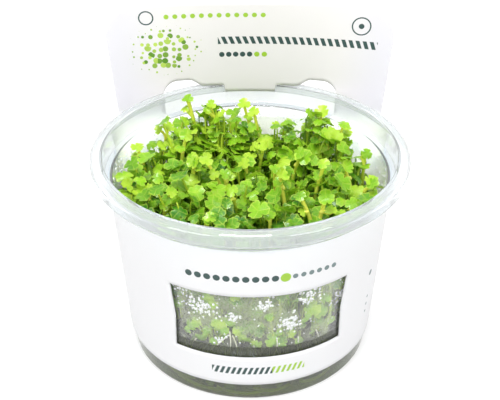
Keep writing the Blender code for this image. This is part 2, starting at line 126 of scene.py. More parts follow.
WINDOW_COLUMNS = 40
BAND_ROWS = (8, 16, 7, 10, 8, 26)
WINDOW_BAND = 1
SLOT_BAND = 4

# Plantlets, as the solids have them
SEED = 41
PLANTLETS = 32
ROOT_BOTTOM = 15.5 * MM
STEM_RADIUS = 0.60 * MM
PETIOLE_RADIUS = 0.45 * MM
ROOT_SPREAD = 36.5 * MM
STEM_FOOT_RISE = 1.0 * MM
STEM_TOP = (30.0 * MM, 41.0 * MM)
STEM_LEAN = 3.0 * MM
FORK_LEVELS = (0.62, 0.9)
FORK_ANGLE = 50.0
CANOPY_HEIGHT = 57.0 * MM
CANOPY_RISE = 2.0 * MM
CANOPY_NOISE = 4.0 * MM
TALL_EVERY = 5
TALL_EXTRA = 10.0 * MM
TALL_SPREAD = 32.0 * MM
TALL_FRONT = -10.0 * MM
LEAF_RADIUS = (2.8 * MM, 3.9 * MM)
LEAF_STEP_DOWN = 3.5 * MM
LEAF_HEIGHT_NOISE = 3.0 * MM
LEAF_REACH = (2.5 * MM, 7.5 * MM)
LEAF_TILT = (8.0, 42.0)
LEAF_NECK = 3.0 * MM
PETIOLE_PULL = 0.4
PETIOLE_POINTS = 4
LEAF_CUP = 0.20
HEADING_NOISE = 0.5
HEADING_STEP = 0.7
TRIES = 60
SAMPLE_RINGS = ((0.36, 6), (0.7, 12), (1.0, 18))
PATH_SAMPLES = 14
CLEARANCE = 1.35 * MM
WALL_CLEARANCE = 0.6 * MM

# Blade outline: places along a lobe, and how deep the lobes and their teeth are cut
LOBES = 3
LOBE_PLACES = (0.0, 0.06, 0.19, 0.345, 0.5, 0.655, 0.81, 0.94)
SINUS_REACH = 0.45
LOBE_SHARPNESS = 6.0
TOOTH_NOTCHES = (0.345, 0.655)
NOTCH_DEPTH = 0.11
NOTCH_WIDTH = 0.05
FINE_RINGS = (0.35, 0.7, 1.0)
COARSE_RINGS = (0.55, 1.0)
RUFFLE = 0.18
CREASE = 0.10
PETIOLE_END_DEPTH = 0.35 * MM

# Where each sequence of random draws starts
SEEDS = {"blades": 3, "carpet": 7, "stalks": 11, "carpet_stems": 17, "pressed": 29, "low": 31,
         "drops": 37, "low_stems": 43, "roots": 47, "sunk": 53, "heaps": 61}

# Small leaves: how wide they spread, how big, tilted and deep they are, and what carries them
CARPET_REACH = 41.0 * MM
CARPET_DEPTH = 17.0 * MM
CARPET_SIZES = (0.74, 1.28)
CARPET_TILT = (6.0, 58.0)
CARPET_CUP = (-0.45, 0.35)
CARPET_TONE = (0.27, 0.24)
CARPET_DROPS = (8.0, 16.0)
CARPET_PETIOLES = (0.26, 0.46)
CARPET_PULLS = (4.0 * MM, 2.0 * MM)
CARPET_AGEING = (44.0 * MM, 60.0 * MM)
# Painted shade: leaves are painted darker from 0 to 30 mm in front of the axis
FRONT_SHADE = (0.0, 30.0 * MM)
HILL = 1.5 * MM
DIP_MIDDLE = (8.0 * MM, 34.0 * MM)
DIP_WIDTH = 8.0 * MM
DIP_DEPTH = 9.0 * MM
CROWDING = 0.95
LEVEL_WEIGHT = 1.7
LONGEST_PUSH = 0.8 * MM
HEAP_SPREAD = 1.5
HEAP_SIZES = (0.62, 1.05)
STALK_TILT = (10.0, 62.0)
STALK_HEADING = (-2.6, -0.5)
STALK_CUP = (-0.2, 0.45)
STALK_TONE = (0.85, 0.2)
STALK_RADII = (0.42, 0.64)
STALK_LEAVING = 0.4
STALK_ARRIVING = 1.6 * MM
STALK_FUNNEL = 0.5
STALK_STEM_TONE = (0.6, 1.0)
SECOND_LEAF_PLACE = 0.68
SECOND_LEAF_SIZE = 0.8
SECOND_STALK_PLACE = 0.35
LOW_HEIGHTS = (23.0, 46.0)
LOW_SIZES = (0.6, 1.05)
LOW_TILT = (15.0, 85.0)
LOW_CUP = (-0.3, 0.2)
LOW_TONE = (0.35, 0.25)
LOW_DROPS = (4.0, 12.0)
LOW_PETIOLES = (0.24, 0.40)
LOW_PULLS = (3.0 * MM, 1.5 * MM)
LOW_WETNESS = 0.6
PRESSED_CUP = (-0.5, 0.0)
PLANTLET_CUP = (0.05, 0.25)
PLANTLET_TONE = (0.6, 0.2)
PLANTLET_STEM_TONE = (0.1, 0.5)
STEM_PULL = 7.0 * MM
STEM_SIDES = 8
FINE_STEPS = 12
FINE_SIDES = 7
TUFT_REACH = 36.0 * MM
TUFT_TURN = 1.0
TUFT_TOP = (44.0, 54.0)
TUFT_RADIUS = 0.5 * MM
TUFT_LEAN = 5.0
TUFT_BOW = 6.0
TUFT_RISE = 12.0 * MM
TUFT_TONE = (0.0, 0.3)
TUFT_STEPS = 16
TUFT_SIDES = 5
HIGHEST_PETIOLE_FOOT = 45.0 * MM
PRESSED_SHARE = 0.85
SUNK_INSET = 0.9 * MM
RUNNER_RADIUS = 0.6 * MM
ROOT_INSET = 1.1 * MM
ROOT_RADII = (0.24, 0.10)
ROOT_REACH = 36.0 * MM
ROOTS_EACH = 3
ROOT_BOW = 1.5
ROOT_DRIFT = 4.0
ROOT_DEPTHS = (5.0, 13.0)
ROOT_CURL = 3.0
ROOT_FALL = -5.0 * MM
WALL_PATH_POINTS = 14

# Water: a drop's shape, and where the film of mist lies on the wall
DROP_SIDES = 8
DROP_RINGS = (0.0, 35.0, 65.0)
DROP_DEPTH = 0.55
DROP_STRETCH = 1.15
DROP_INSET = 0.02 * MM
MIST_COLUMNS = 360
MIST_LEVELS = (17.0, 61.0, 45)
MIST_INSET = 0.05 * MM
MIST_MIDDLE = 3.2
MIST_EDGE = (33.6, 34.8)
MIST_SHARES = (0.01, 0.52)
MIST_ABOVE_WINDOW = 0.03
MIST_OVER_GEL = (21.6 * MM, 22.6 * MM)
MIST_WINDOW_TOP = (42.0 * MM, 50.0 * MM)
# Painted light: the film starts at 17 mm, inside the gel, as a pale veil
MIST_FOOT = (17.0 * MM, 19.0 * MM)
MIST_TOP = (58.0 * MM, 61.0 * MM)

# Colours of the materials, linear, and how they bend and take in light
PLASTIC_IOR = 1.49
PLASTIC_DEPTHS = (0.55, 0.64, 0.70)
PLASTIC_DENSITY = 3.0
GEL_IOR = 1.34
GEL_DARK = (0.13, 0.17, 0.05)
GEL_LIGHT = (0.23, 0.28, 0.08)
GEL_SHADOW = (0.60, 0.66, 0.44)
WATER_IOR = 1.33
# Also the white of the drops' painted highlight
WATER_TINT = (0.98, 0.99, 1.0)
# Painted light: the mist's pale green lightens the window
MIST_AND_PAINTED_LIGHT_COLOUR = (0.78, 0.85, 0.55)
YOUNG_LEAF = (0.48, 0.64, 0.05)
PALE_VEIN = (0.62, 0.74, 0.10)
LEAF_GLOW = (0.36, 0.62, 0.02)
PETIOLE_DARK = (0.10, 0.22, 0.03)
PETIOLE_YELLOW = (1.0, 0.96, 0.16)
PETIOLE_STREAK = (0.40, 0.62, 0.03)
PETIOLE_GLOW = (0.95, 1.0, 0.22)
ROOT_CREAM = (0.84, 0.83, 0.70)
ROOT_BROWN = (0.46, 0.40, 0.22)
SLEEVE_CLOUD = (0.765, 0.765, 0.79)
HEADER_CLOUD = (0.79, 0.775, 0.78)
HEADER_ENDS = (0.71, 0.70, 0.74)
# The card's inside with painted light: brighter and creamier than the card, for back light
# through it
CARD_INSIDE_AND_GLOW = (0.90, 0.91, 0.84)
SLATE_INK = (0.16, 0.22, 0.22)
BUBBLE_GREEN = (0.10, 0.26, 0.02)
BUBBLE_LIME = (0.50, 0.68, 0.12)
FLOOR_DARK = (0.42, 0.42, 0.42)
FLOOR_LIGHT = (0.46, 0.46, 0.46)
FLOOR_GLOW = 0.62

# Printed marks in mm on the sheet: dots by start, end, height, pitch and radius, dashes by
# start, end, low, high, pitch, width and slant, rings by middle, height, radius and line
SLEEVE_DARK = (("dots", -20.3, 9.0, 50.0, 2.93, 1.1),
               ("dashes", -13.0, 7.6, 12.0, 14.8, 1.9, 1.05, 0.4))
SLEEVE_SLATE = (("dots", 12.4, 28.0, 50.0, 2.6, 0.85), ("dots", 47.0, 49.4, 36.0, 2.4, 1.0),
                ("dots", 48.0, 50.0, 26.0, 2.0, 0.5), ("dots", 48.0, 50.0, 23.0, 2.0, 0.5),
                ("dots", 48.0, 50.0, 20.0, 2.0, 0.5))
SLEEVE_LIME = (("dots", 9.0, 12.4, 50.0, 3.4, 1.6),
               ("dashes", 7.6, 19.0, 12.0, 14.8, 1.9, 0.95, 0.4))
SLEEVE_PRINT_BEFORE = 20.0 * MM
HEADER_DARK = (("dashes", -10.5, 41.5, 84.4, 87.0, 2.3, 1.3, -0.4),
               ("dots", -10.5, 1.0, 80.6, 2.3, 0.9), ("ring", 35.6, 92.0, 2.9, 0.22),
               ("dots", 34.6, 36.6, 92.0, 2.0, 0.9), ("ring", -33.0, 94.6, 2.2, 0.22))
HEADER_LIME = (("dots", -28.0, 6.0, 94.6, 2.8, 0.8), ("dots", 1.0, 6.0, 80.6, 2.5, 0.9))
HEADER_BUBBLES = (-27.5, 83.0, 14.5, 10.5)
BUBBLE_DENSITY = 0.46
BUBBLE_DISORDER = 0.8
BUBBLE_SIZES = (0.24, 0.56)

# Camera, found by fitting the rim, the ledge and the base to the photograph
CAMERA_PLACE = (0.0, -0.3037, 0.2374)
CAMERA_AIM = (0.0, 0.0, 0.050)
CAMERA_LENS = 80.0
CAMERA_SENSOR = 36.0
CAMERA_CLIP = 0.01

# Studio, in metres: half the floor, where the lights aim, and each light's place and width
FLOOR_HALF = 3.0
LIGHT_AIM = (0.0, 0.0, 0.045)
TOP_LIGHT = ((-0.03, -0.14, 0.70), 0.22)
LEFT_LIGHT = ((-0.45, -0.50, 0.50), 0.36)
RIGHT_LIGHT = ((0.45, -0.50, 0.50), 0.36)


# Settings

class CupSettings(bpy.types.PropertyGroup):
    segments: IntProperty(
        name="Segments", description="Steps of the smooth turned surfaces round the cup",
        default=144, min=36, max=360)
    rim_milkiness: FloatProperty(
        name="Rim milkiness", description="Share of light that the thicker rim scatters",
        default=0.14, min=0.0, max=1.0, subtype="FACTOR")
    tint: FloatVectorProperty(
        name="Wall tint", description="Colour that light takes on in the wall of the cup",
        default=(0.975, 0.985, 0.98), min=0.0, max=1.0, subtype="COLOR")
    # Painted shade: the rim's tint is much greyer than the wall's, so that the ring reads grey
    # against the white
    rim_tint_and_shade: FloatVectorProperty(
        name="Rim tint", description="Colour that light takes on in the thicker rim",
        default=(0.78, 0.805, 0.81), min=0.0, max=1.0, subtype="COLOR")
    milkiness: FloatProperty(
        name="Milkiness", description="Share of light that the plastic scatters",
        default=0.015, min=0.0, max=1.0, subtype="FACTOR")


class GelSettings(bpy.types.PropertyGroup):
    colour: FloatVectorProperty(
        name="Gel colour", description="Colour that light takes on in the nutrient gel",
        default=(0.42, 0.50, 0.14), min=0.0, max=1.0, subtype="COLOR")
    density: FloatProperty(
        name="Gel density", description="How fast the gel absorbs light, per metre",
        default=430.0, min=0.0, max=2000.0)


class CardSettings(bpy.types.PropertyGroup):
    sleeve: FloatVectorProperty(
        name="Sleeve white", description="Colour of the bare card round the cup",
        default=(0.785, 0.785, 0.80), min=0.0, max=1.0, subtype="COLOR")
    header: FloatVectorProperty(
        name="Header grey", description="Colour of the bare card of the header",
        default=(0.775, 0.755, 0.745), min=0.0, max=1.0, subtype="COLOR")
    dark_ink: FloatVectorProperty(
        name="Dark ink", description="Darker printing ink",
        default=(0.035, 0.075, 0.07), min=0.0, max=1.0, subtype="COLOR")
    lime_ink: FloatVectorProperty(
        name="Lime ink", description="Lighter printing ink",
        default=(0.33, 0.55, 0.04), min=0.0, max=1.0, subtype="COLOR")


class PlantSettings(bpy.types.PropertyGroup):
    carpet_leaves: IntProperty(
        name="Carpet leaves", description="Small leaves that fill the top of the cup",
        default=1350, min=0, max=2500)
    low_leaves: IntProperty(
        name="Low leaves", description="Small leaves below the carpet",
        default=620, min=0, max=1500)
    tufts: IntProperty(
        name="Tufts", description="Stems that carry the small leaves",
        default=120, min=1, max=300)
    leaf_size: FloatProperty(
        name="Leaf radius", description="Middle radius of the small leaves",
        default=2.65 * MM, min=1.0 * MM, max=6.0 * MM, unit="LENGTH")
    # Dark green is the older leaves' colour, and also the painted shade on the leaves towards
    # the front
    dark_green: FloatVectorProperty(
        name="Dark green", description="Colour of the older leaves",
        default=(0.018, 0.180, 0.004), min=0.0, max=1.0, subtype="COLOR")
    lime_green: FloatVectorProperty(
        name="Lime green", description="Colour of the young leaves",
        default=(0.30, 0.60, 0.014), min=0.0, max=1.0, subtype="COLOR")
    stem_green: FloatVectorProperty(
        name="Stem green", description="Colour of the petioles and stems",
        default=(0.56, 0.74, 0.05), min=0.0, max=1.0, subtype="COLOR")


class StageSettings(bpy.types.PropertyGroup):
    key_power: FloatProperty(
        name="Top light", description="Power of the softbox over the pot, in watts",
        default=4.2, min=0.0, max=200.0)
    side_power: FloatProperty(
        name="Side lights", description="Power of each softbox beside the camera, in watts",
        default=1.7, min=0.0, max=200.0)
    sky: FloatProperty(
        name="Surroundings", description="Brightness of the white room round the pot",
        default=0.86, min=0.0, max=5.0)


class PotSettings(bpy.types.PropertyGroup):
    cup: PointerProperty(type=CupSettings)
    gel: PointerProperty(type=GelSettings)
    card: PointerProperty(type=CardSettings)
    plants: PointerProperty(type=PlantSettings)
    stage: PointerProperty(type=StageSettings)


# Number helpers

def smoothstep(low, high, value):
    """Rise from 0 at low to 1 at high along a cubic."""
    t = np.clip((value - low) / (high - low), 0.0, 1.0)
    return t * t * (3.0 - 2.0 * t)


def mix(a, b, t):
    return a + (b - a) * t


def unit(vectors):
    """The same vectors, one long."""
    return vectors / np.linalg.norm(vectors, axis=-1, keepdims=True)


def draws(what):
    """A fresh sequence of random draws, the same in every run."""
    return np.random.default_rng(SEEDS[what])


def spiral_turn(number):
    """The angle of a place in a sunflower spiral."""
    return number * math.pi * (3.0 - math.sqrt(5.0))


def spiral(count, reach):
    """Distances and angles of count places in a sunflower spiral that fills a disc."""
    number = np.arange(count)
    return reach * np.sqrt((number + 0.5) / count), spiral_turn(number)


def tilted(heading, tilt):
    """Directions that lean from upright by tilt, towards heading."""
    return np.stack((np.sin(tilt) * np.cos(heading), np.sin(tilt) * np.sin(heading),
                     np.cos(tilt)), axis=-1)


# Mesh helpers

def add_piece(name, points, faces, surface, slot, smooth=True, **values):
    """A mesh piece that rides on the pot. Each of values is a number at every point."""
    mesh = bpy.data.meshes.new(name)
    mesh.from_pydata(np.asarray(points).tolist(), [], faces)
    mesh.polygons.foreach_set("use_smooth", np.full(len(mesh.polygons), smooth))
    for label, numbers in values.items():
        layer = mesh.attributes.new(label, "FLOAT", "POINT")
        layer.data.foreach_set("value", np.asarray(numbers, np.float32).ravel())
    mesh.materials.append(surface)
    mesh.update()
    made = bpy.data.objects.new(name, mesh)
    bpy.context.scene.collection.objects.link(made)
    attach(made, "root")
    return made


def repeated(faces, points_each, count):
    """The faces of one shape repeated for count shapes with points_each points each."""
    offsets = np.arange(count)[:, None, None] * points_each
    return (faces[None, :, :] + offsets).reshape(-1, faces.shape[1])


def ring_quads(rings, around, first=0):
    """Quads between each ring of points and the next one, with around points in each."""
    step = np.arange(around)
    after = (step + 1) % around
    rows = first + np.arange(rings - 1)[:, None] * around
    quads = np.stack(
        (rows + step, rows + after, rows + around + after, rows + around + step), axis=-1)
    return quads.reshape(-1, 4)


def turned(profile, segments):
    """A profile of (radius, height) turned round Z, closed by a pole at each end.

    A point is (radius cos t, radius sin t, height), with t in equal steps round the axis.
    """
    profile = np.asarray(profile)
    body = profile[1:-1]
    t = np.arange(segments) * math.tau / segments
    ring = np.stack((np.cos(t), np.sin(t)), axis=-1)
    flat = body[:, None, 0, None] * ring[None, :, :]
    heights = np.broadcast_to(body[:, None, 1, None], flat.shape[:2] + (1,))
    sides = np.concatenate((flat, heights), axis=-1).reshape(-1, 3)
    poles = np.array(((0.0, 0.0, profile[0, 1]), (0.0, 0.0, profile[-1, 1])))
    points = np.vstack((poles, sides))
    step = np.arange(segments)
    after = (step + 1) % segments
    last = 2 + (len(body) - 1) * segments
    first_fan = np.stack((np.zeros(segments, int), 2 + after, 2 + step), axis=-1)
    last_fan = np.stack((np.ones(segments, int), last + step, last + after), axis=-1)
    quads = ring_quads(len(body), segments, first=2)
    return points, quads.tolist() + first_fan.tolist() + last_fan.tolist()


def tubes(paths, radii, sides):
    """Tubes along many paths at once, with closed ends.

    Round each path point lies a ring: radius times (side cos t + across sin t), where side
    and across are at right angles to the path's direction there.
    """
    count, length = paths.shape[:2]
    along = unit(np.gradient(paths, axis=1))
    chord = paths[:, -1] - paths[:, 0]
    flat = np.stack((-chord[:, 1], chord[:, 0], np.full(count, 1e-9)), axis=-1)
    flat[:, 0] += 1e-7
    side = np.broadcast_to(unit(flat)[:, None, :], along.shape)
    side = unit(side - np.sum(side * along, axis=-1, keepdims=True) * along)
    across = np.cross(along, side)
    t = np.arange(sides) * math.tau / sides
    ring = (np.cos(t)[None, None, :, None] * side[:, :, None, :]
            + np.sin(t)[None, None, :, None] * across[:, :, None, :])
    points = paths[:, :, None, :] + radii[:, :, None, None] * ring
    step = np.arange(sides)
    caps = np.stack((step[::-1], (length - 1) * sides + step))
    each = length * sides
    faces = repeated(ring_quads(length, sides), each, count).tolist()
    faces += repeated(caps, each, count).tolist()
    return points.reshape(-1, 3), faces


def curve_paths(start, leaving, arriving, end, count):
    """Cubic curves that leave their starts and reach their ends in the two given pulls."""
    t = np.linspace(0.0, 1.0, count)[:, None]
    start, leaving, arriving, end = (
        np.asarray(v)[..., None, :] for v in (start, leaving, arriving, end))
    first = 3 * t * (1 - t) ** 2 * (start + leaving)
    second = 3 * t ** 2 * (1 - t) * (end - arriving)
    return (1 - t) ** 3 * start + first + second + t ** 3 * end


# Shader helpers

class Finish:
    """A node material, with short calls that add nodes and link them."""

    def __init__(self, name):
        self.material = bpy.data.materials.new(name)
        self.material.use_nodes = True
        self.tree = self.material.node_tree
        self.tree.nodes.clear()

    def put(self, socket, value):
        """Link a socket, or set a plain number or colour."""
        if isinstance(value, bpy.types.NodeSocket):
            self.tree.links.new(value, socket)
        elif hasattr(value, "__len__"):
            wanted = len(socket.default_value)
            socket.default_value = (tuple(value) + (1.0,))[:wanted]
        else:
            socket.default_value = value

    def node(self, kind, inputs=None, **settings):
        """A new node, with its inputs filled by name or number. Settings are its own fields."""
        made = self.tree.nodes.new(kind)
        for label, value in settings.items():
            setattr(made, label, value)
        for label, value in (inputs or {}).items():
            self.put(made.inputs[label], value)
        return made

    def place(self, scale=(1.0, 1.0, 1.0)):
        """Object coordinates, scaled."""
        source = self.node("ShaderNodeTexCoord").outputs["Object"]
        return self.node(
            "ShaderNodeMapping", {"Vector": source, "Scale": scale}).outputs["Vector"]

    def value(self, label):
        return self.node("ShaderNodeAttribute", attribute_name=label).outputs["Fac"]

    def maths(self, operation, *numbers, clamp=False):
        return self.node("ShaderNodeMath", dict(enumerate(numbers)), operation=operation,
                         use_clamp=clamp).outputs["Value"]

    def noise(self, vector, scale, detail=3.0, roughness=0.55, warp=0.0):
        return self.node("ShaderNodeTexNoise", {
            "Vector": vector, "Scale": scale, "Detail": detail, "Roughness": roughness,
            "Distortion": warp}).outputs["Fac"]

    def span(self, value, low, high, to_low=0.0, to_high=1.0):
        """Map low..high smoothly onto to_low..to_high, and hold it there outside."""
        return self.node("ShaderNodeMapRange", {
            "Value": value, "From Min": low, "From Max": high, "To Min": to_low,
            "To Max": to_high}, interpolation_type="SMOOTHSTEP").outputs["Result"]

    def blend(self, factor, first, second):
        return self.node("ShaderNodeMix", {"Factor": factor, 6: first, 7: second},
                         data_type="RGBA").outputs[2]

    def bump(self, height, strength, distance):
        return self.node("ShaderNodeBump", {
            "Height": height, "Strength": strength, "Distance": distance}).outputs["Normal"]

    def principled(self, **inputs):
        """A Principled shader. Underscores in the names stand for spaces."""
        named = {label.replace("_", " "): value for label, value in inputs.items()}
        return self.node("ShaderNodeBsdfPrincipled", named).outputs["BSDF"]

    def either(self, factor, first, second):
        return self.node(
            "ShaderNodeMixShader", {0: factor, 1: first, 2: second}).outputs["Shader"]

    def clear(self, colour=(1.0, 1.0, 1.0)):
        return self.node("ShaderNodeBsdfTransparent", {"Color": colour}).outputs["BSDF"]

    def lets_light_in(self, shader, colour=(1.0, 1.0, 1.0)):
        """The shader, but shadow rays pass straight through it and take on the colour."""
        shadow = self.node("ShaderNodeLightPath").outputs["Is Shadow Ray"]
        return self.either(shadow, shader, self.clear(colour))

    def glowing(self, share, surface, colour):
        """The surface, with a share of the light scattered through to its other side."""
        through = self.node("ShaderNodeBsdfTranslucent", {"Color": colour}).outputs["BSDF"]
        return self.either(share, surface, through)

    def absorbing(self, colour, density):
        """A volume that takes in light, and leaves this colour."""
        return self.node("ShaderNodeVolumeAbsorption", {
            "Color": colour, "Density": density}).outputs["Volume"]

    def done(self, surface, volume=None):
        output = self.node("ShaderNodeOutputMaterial", {"Surface": surface})
        if volume is not None:
            self.put(output.inputs["Volume"], volume)
        return self.material


def clear_plastic(name, tint, milkiness):
    """Clear polypropylene: faintly milky, blue-grey where it is thick, with mould waves."""
    look = Finish(name)
    place = look.place()
    waves = look.noise(look.place((1.0, 1.0, 0.35)), 70.0, detail=2.0)
    haze = look.noise(place, 260.0, detail=4.0)
    plastic = look.principled(
        Base_Color=tint, IOR=PLASTIC_IOR, Transmission_Weight=1.0 - milkiness,
        Roughness=look.span(haze, 0.35, 0.75, 0.0, 0.04),
        Normal=look.bump(waves, 0.08, 0.4 * MM))
    return look.done(
        look.lets_light_in(plastic), look.absorbing(PLASTIC_DEPTHS, PLASTIC_DENSITY))


def nutrient_gel(settings):
    """Cloudy jelly: green-grey by absorption, wet and slightly uneven."""
    look = Finish("nutrient_gel")
    clouds = look.noise(look.place(), 120.0, detail=4.0)
    jelly = look.principled(
        Base_Color=look.blend(clouds, GEL_DARK, GEL_LIGHT), IOR=GEL_IOR,
        Transmission_Weight=0.92, Roughness=look.span(clouds, 0.3, 0.7, 0.02, 0.07),
        Normal=look.bump(clouds, 0.1, 0.3 * MM))
    return look.done(look.lets_light_in(jelly, GEL_SHADOW),
                     look.absorbing(settings.colour, settings.density))


def pennywort_leaf(name, settings, wet=0.25):
    """A small fleshy blade: mottled greens, pale veins and margin, a glossy skin."""
    look = Finish(name)
    place = look.place()
    mottle = look.noise(place, 900.0, detail=4.0)
    patch = look.noise(place, 160.0, detail=2.0)
    tone = look.value("tone")
    age = look.maths("ADD", tone, look.span(patch, 0.3, 0.7, -0.18, 0.18), clamp=True)
    green = look.blend(age, settings.dark_green, settings.lime_green)
    green = look.blend(look.span(mottle, 0.45, 0.8, 0.0, 0.45), green, settings.lime_green)
    green = look.blend(look.span(age, 0.75, 1.0, 0.0, 0.6), green, YOUNG_LEAF)
    midline = look.value("midline")
    out = look.value("out")
    main_vein = look.span(midline, 0.0, 0.12, 0.50, 0.0)
    branch = look.maths("FRACT", look.maths(
        "SUBTRACT", look.maths("MULTIPLY", out, 4.0), look.maths("MULTIPLY", midline, 1.6)))
    side_vein = look.span(look.maths("ABSOLUTE", look.maths("SUBTRACT", branch, 0.5)),
                          0.0, 0.13, 0.26, 0.0)
    margin = look.span(out, 0.82, 1.0, 0.0, 0.52)
    pale = look.maths("MAXIMUM", look.maths("MAXIMUM", main_vein, side_vein), margin)
    skin = look.blend(pale, green, PALE_VEIN)
    relief = look.maths("SUBTRACT", look.maths("MULTIPLY", mottle, 0.5), main_vein)
    normal = look.bump(relief, 0.6, 0.18 * MM)
    top = look.principled(
        Base_Color=skin, Roughness=look.span(mottle, 0.3, 0.75, 0.28, 0.5), Normal=normal,
        Specular_IOR_Level=0.35, Coat_Weight=wet, Coat_Roughness=0.12)
    return look.done(look.glowing(0.28, top, look.blend(0.5, skin, LEAF_GLOW)))


def petiole_green(settings):
    """A watery petiole, from dark green through lime to yellow, translucent and shiny."""
    look = Finish("petiole_green")
    streaks = look.noise(look.place((1.0, 1.0, 0.25)), 800.0, detail=3.0)
    tone = look.value("tone")
    young = look.blend(look.span(tone, 0.4, 1.0), settings.stem_green, PETIOLE_YELLOW)
    fresh = look.blend(look.span(tone, 0.0, 0.45), PETIOLE_DARK, young)
    colour = look.blend(look.span(streaks, 0.45, 0.75, 0.0, 0.15), fresh, PETIOLE_STREAK)
    skin = look.principled(
        Base_Color=colour, Roughness=look.span(streaks, 0.3, 0.7, 0.25, 0.42),
        Coat_Weight=0.3, Coat_Roughness=0.2, Normal=look.bump(streaks, 0.2, 0.05 * MM))
    return look.done(look.glowing(0.35, skin, look.blend(0.5, colour, PETIOLE_GLOW)))


def root_white():
    """Fine roots: cream with browner stretches."""
    look = Finish("root_white")
    patches = look.noise(look.place(), 350.0, detail=3.0)
    colour = look.blend(look.span(patches, 0.45, 0.75), ROOT_CREAM, ROOT_BROWN)
    skin = look.principled(
        Base_Color=colour, Roughness=look.span(patches, 0.3, 0.7, 0.35, 0.55),
        Normal=look.bump(patches, 0.3, 0.05 * MM))
    return look.done(skin)


def water_drop():
    """Condensed water, with a painted highlight: most of its surface scatters white, so that
    small drops read white.
    """
    look = Finish("water_drop")
    ripple = look.noise(look.place(), 1500.0, detail=2.0)
    water = look.principled(
        Base_Color=WATER_TINT, IOR=WATER_IOR, Transmission_Weight=0.35,
        Roughness=look.span(ripple, 0.3, 0.7, 0.02, 0.12),
        Normal=look.bump(ripple, 0.1, 0.05 * MM))
    return look.done(look.lets_light_in(water))


def wall_mist_and_painted_light():
    """Fine condensation on the wall and a thin film down into the gel, thick in patches. Its
    pale green colour and the film inside the gel are painted light that lightens the window.
    """
    look = Finish("wall_mist_and_painted_light")
    place = look.place()
    clouds = look.noise(place, 95.0, detail=5.0, roughness=0.6, warp=0.6)
    beads = look.noise(place, 1300.0, detail=2.0)
    thick = look.span(clouds, 0.32, 0.66, 0.25, 1.0)
    amount = look.maths("MULTIPLY", look.value("mist"), thick)
    amount = look.maths("MULTIPLY", amount, look.span(beads, 0.3, 0.7, 0.55, 1.0), clamp=True)
    veil = look.principled(
        Base_Color=MIST_AND_PAINTED_LIGHT_COLOUR, Roughness=0.6, Normal=look.bump(beads, 0.4, 0.1 * MM))
    return look.done(look.either(amount, look.clear(), look.glowing(0.5, veil, MIST_AND_PAINTED_LIGHT_COLOUR)))


def studio_floor():
    """White seamless paper, with a faint grain."""
    look = Finish("studio_floor")
    grain = look.noise(look.place(), 400.0, detail=3.0)
    paper = look.principled(
        Base_Color=look.blend(grain, FLOOR_DARK, FLOOR_LIGHT),
        Roughness=0.8, Normal=look.bump(grain, 0.1, 0.1 * MM),
        Emission_Color=(1.0, 1.0, 1.0), Emission_Strength=FLOOR_GLOW)
    return look.done(paper)


# Cup

def cup_outside(height):
    return WALL_RADIUS_AT_BASE + WALL_TAPER * height


def cup_inside(height):
    return cup_outside(height) - WALL


def rounded(corners):
    """A (radius, height) profile with arcs for corners, from (radius, height, rounding) rows.

    Each arc touches both sides of its corner. Its centre lies on the line that halves the
    corner's angle, rounding / sin(half the angle) from the corner.
    """
    places = np.array(corners)[:, :2]
    profile = [places[:1]]
    for before, corner, after, rounding in zip(
            places, places[1:], places[2:], np.array(corners)[1:-1, 2]):
        back = unit(before - corner)
        on = unit(after - corner)
        half = math.acos(float(np.clip(back @ on, -1.0, 1.0))) / 2
        centre = corner + unit(back + on) * rounding / math.sin(half)
        start = corner + back * rounding / math.tan(half) - centre
        end = corner + on * rounding / math.tan(half) - centre
        share = np.linspace(0.0, 1.0, ROUNDING_STEPS + 1)[:, None]
        profile.append(centre + rounding * unit(mix(start, end, share)))
    profile.append(places[-1:])
    return np.vstack(profile)


def cup_profile():
    """Inner floor, inner wall, lid seat, flange with its skirt, outer wall and base."""
    ledge_under = LEDGE_HEIGHT - LEDGE_THICKNESS
    edge = EDGE_ROUNDING
    return rounded((
        (0.0, FLOOR_THICKNESS, 0.0),
        (cup_inside(FLOOR_THICKNESS), FLOOR_THICKNESS, FLOOR_FILLET),
        (cup_inside(LEDGE_HEIGHT), LEDGE_HEIGHT, CORNER_ROUNDING),
        (LEDGE_RADIUS, LEDGE_HEIGHT, CORNER_ROUNDING),
        (MOUTH_RADIUS, RIM_HEIGHT, CORNER_ROUNDING),
        (RIM_RADIUS, RIM_HEIGHT, RIM_SHOULDER),
        (RIM_RADIUS, SKIRT_BOTTOM, edge),
        (RIM_RADIUS - WALL, SKIRT_BOTTOM, edge),
        (RIM_RADIUS - WALL, RIM_HEIGHT - WALL, RIM_SHOULDER - WALL),
        (MOUTH_RADIUS + WALL, RIM_HEIGHT - WALL, edge),
        (LEDGE_RADIUS + WALL, ledge_under, CORNER_ROUNDING),
        (cup_outside(ledge_under), ledge_under, edge),
        (cup_outside(0.0), 0.0, BASE_ROUNDING),
        (0.0, 0.0, 0.0)))


def gel_profile():
    """Foot, rounded side, a meniscus that climbs the wall, and the top.

    Jelly wets the plastic and both bend light alike, so it looks as if it filled the wall to
    just under its outer skin. The profile therefore reaches into the wall.
    """
    top_edge = GEL_HEIGHT + GEL_MENISCUS
    foot = WETTED_SKIN
    t = np.linspace(1.0, 0.0, 9)
    climb = cup_inside(top_edge) - GEL_MENISCUS_WIDTH * (1.0 - t)
    meniscus = np.stack((climb, GEL_HEIGHT + GEL_MENISCUS * t * t), axis=1)
    side = rounded((
        (0.0, foot, 0.0),
        (cup_outside(foot) - WETTED_SKIN, foot, BASE_ROUNDING - WETTED_SKIN),
        (cup_outside(top_edge) - WETTED_SKIN, top_edge, 0.0)))
    return np.vstack((side, meniscus, (0.5 * meniscus[-1, 0], GEL_HEIGHT), (0.0, GEL_HEIGHT)))


# Card

def card_radius(height):
    """The card's outer face where it lies on the cup."""
    return cup_outside(height) + GAP + CARD_THICKNESS


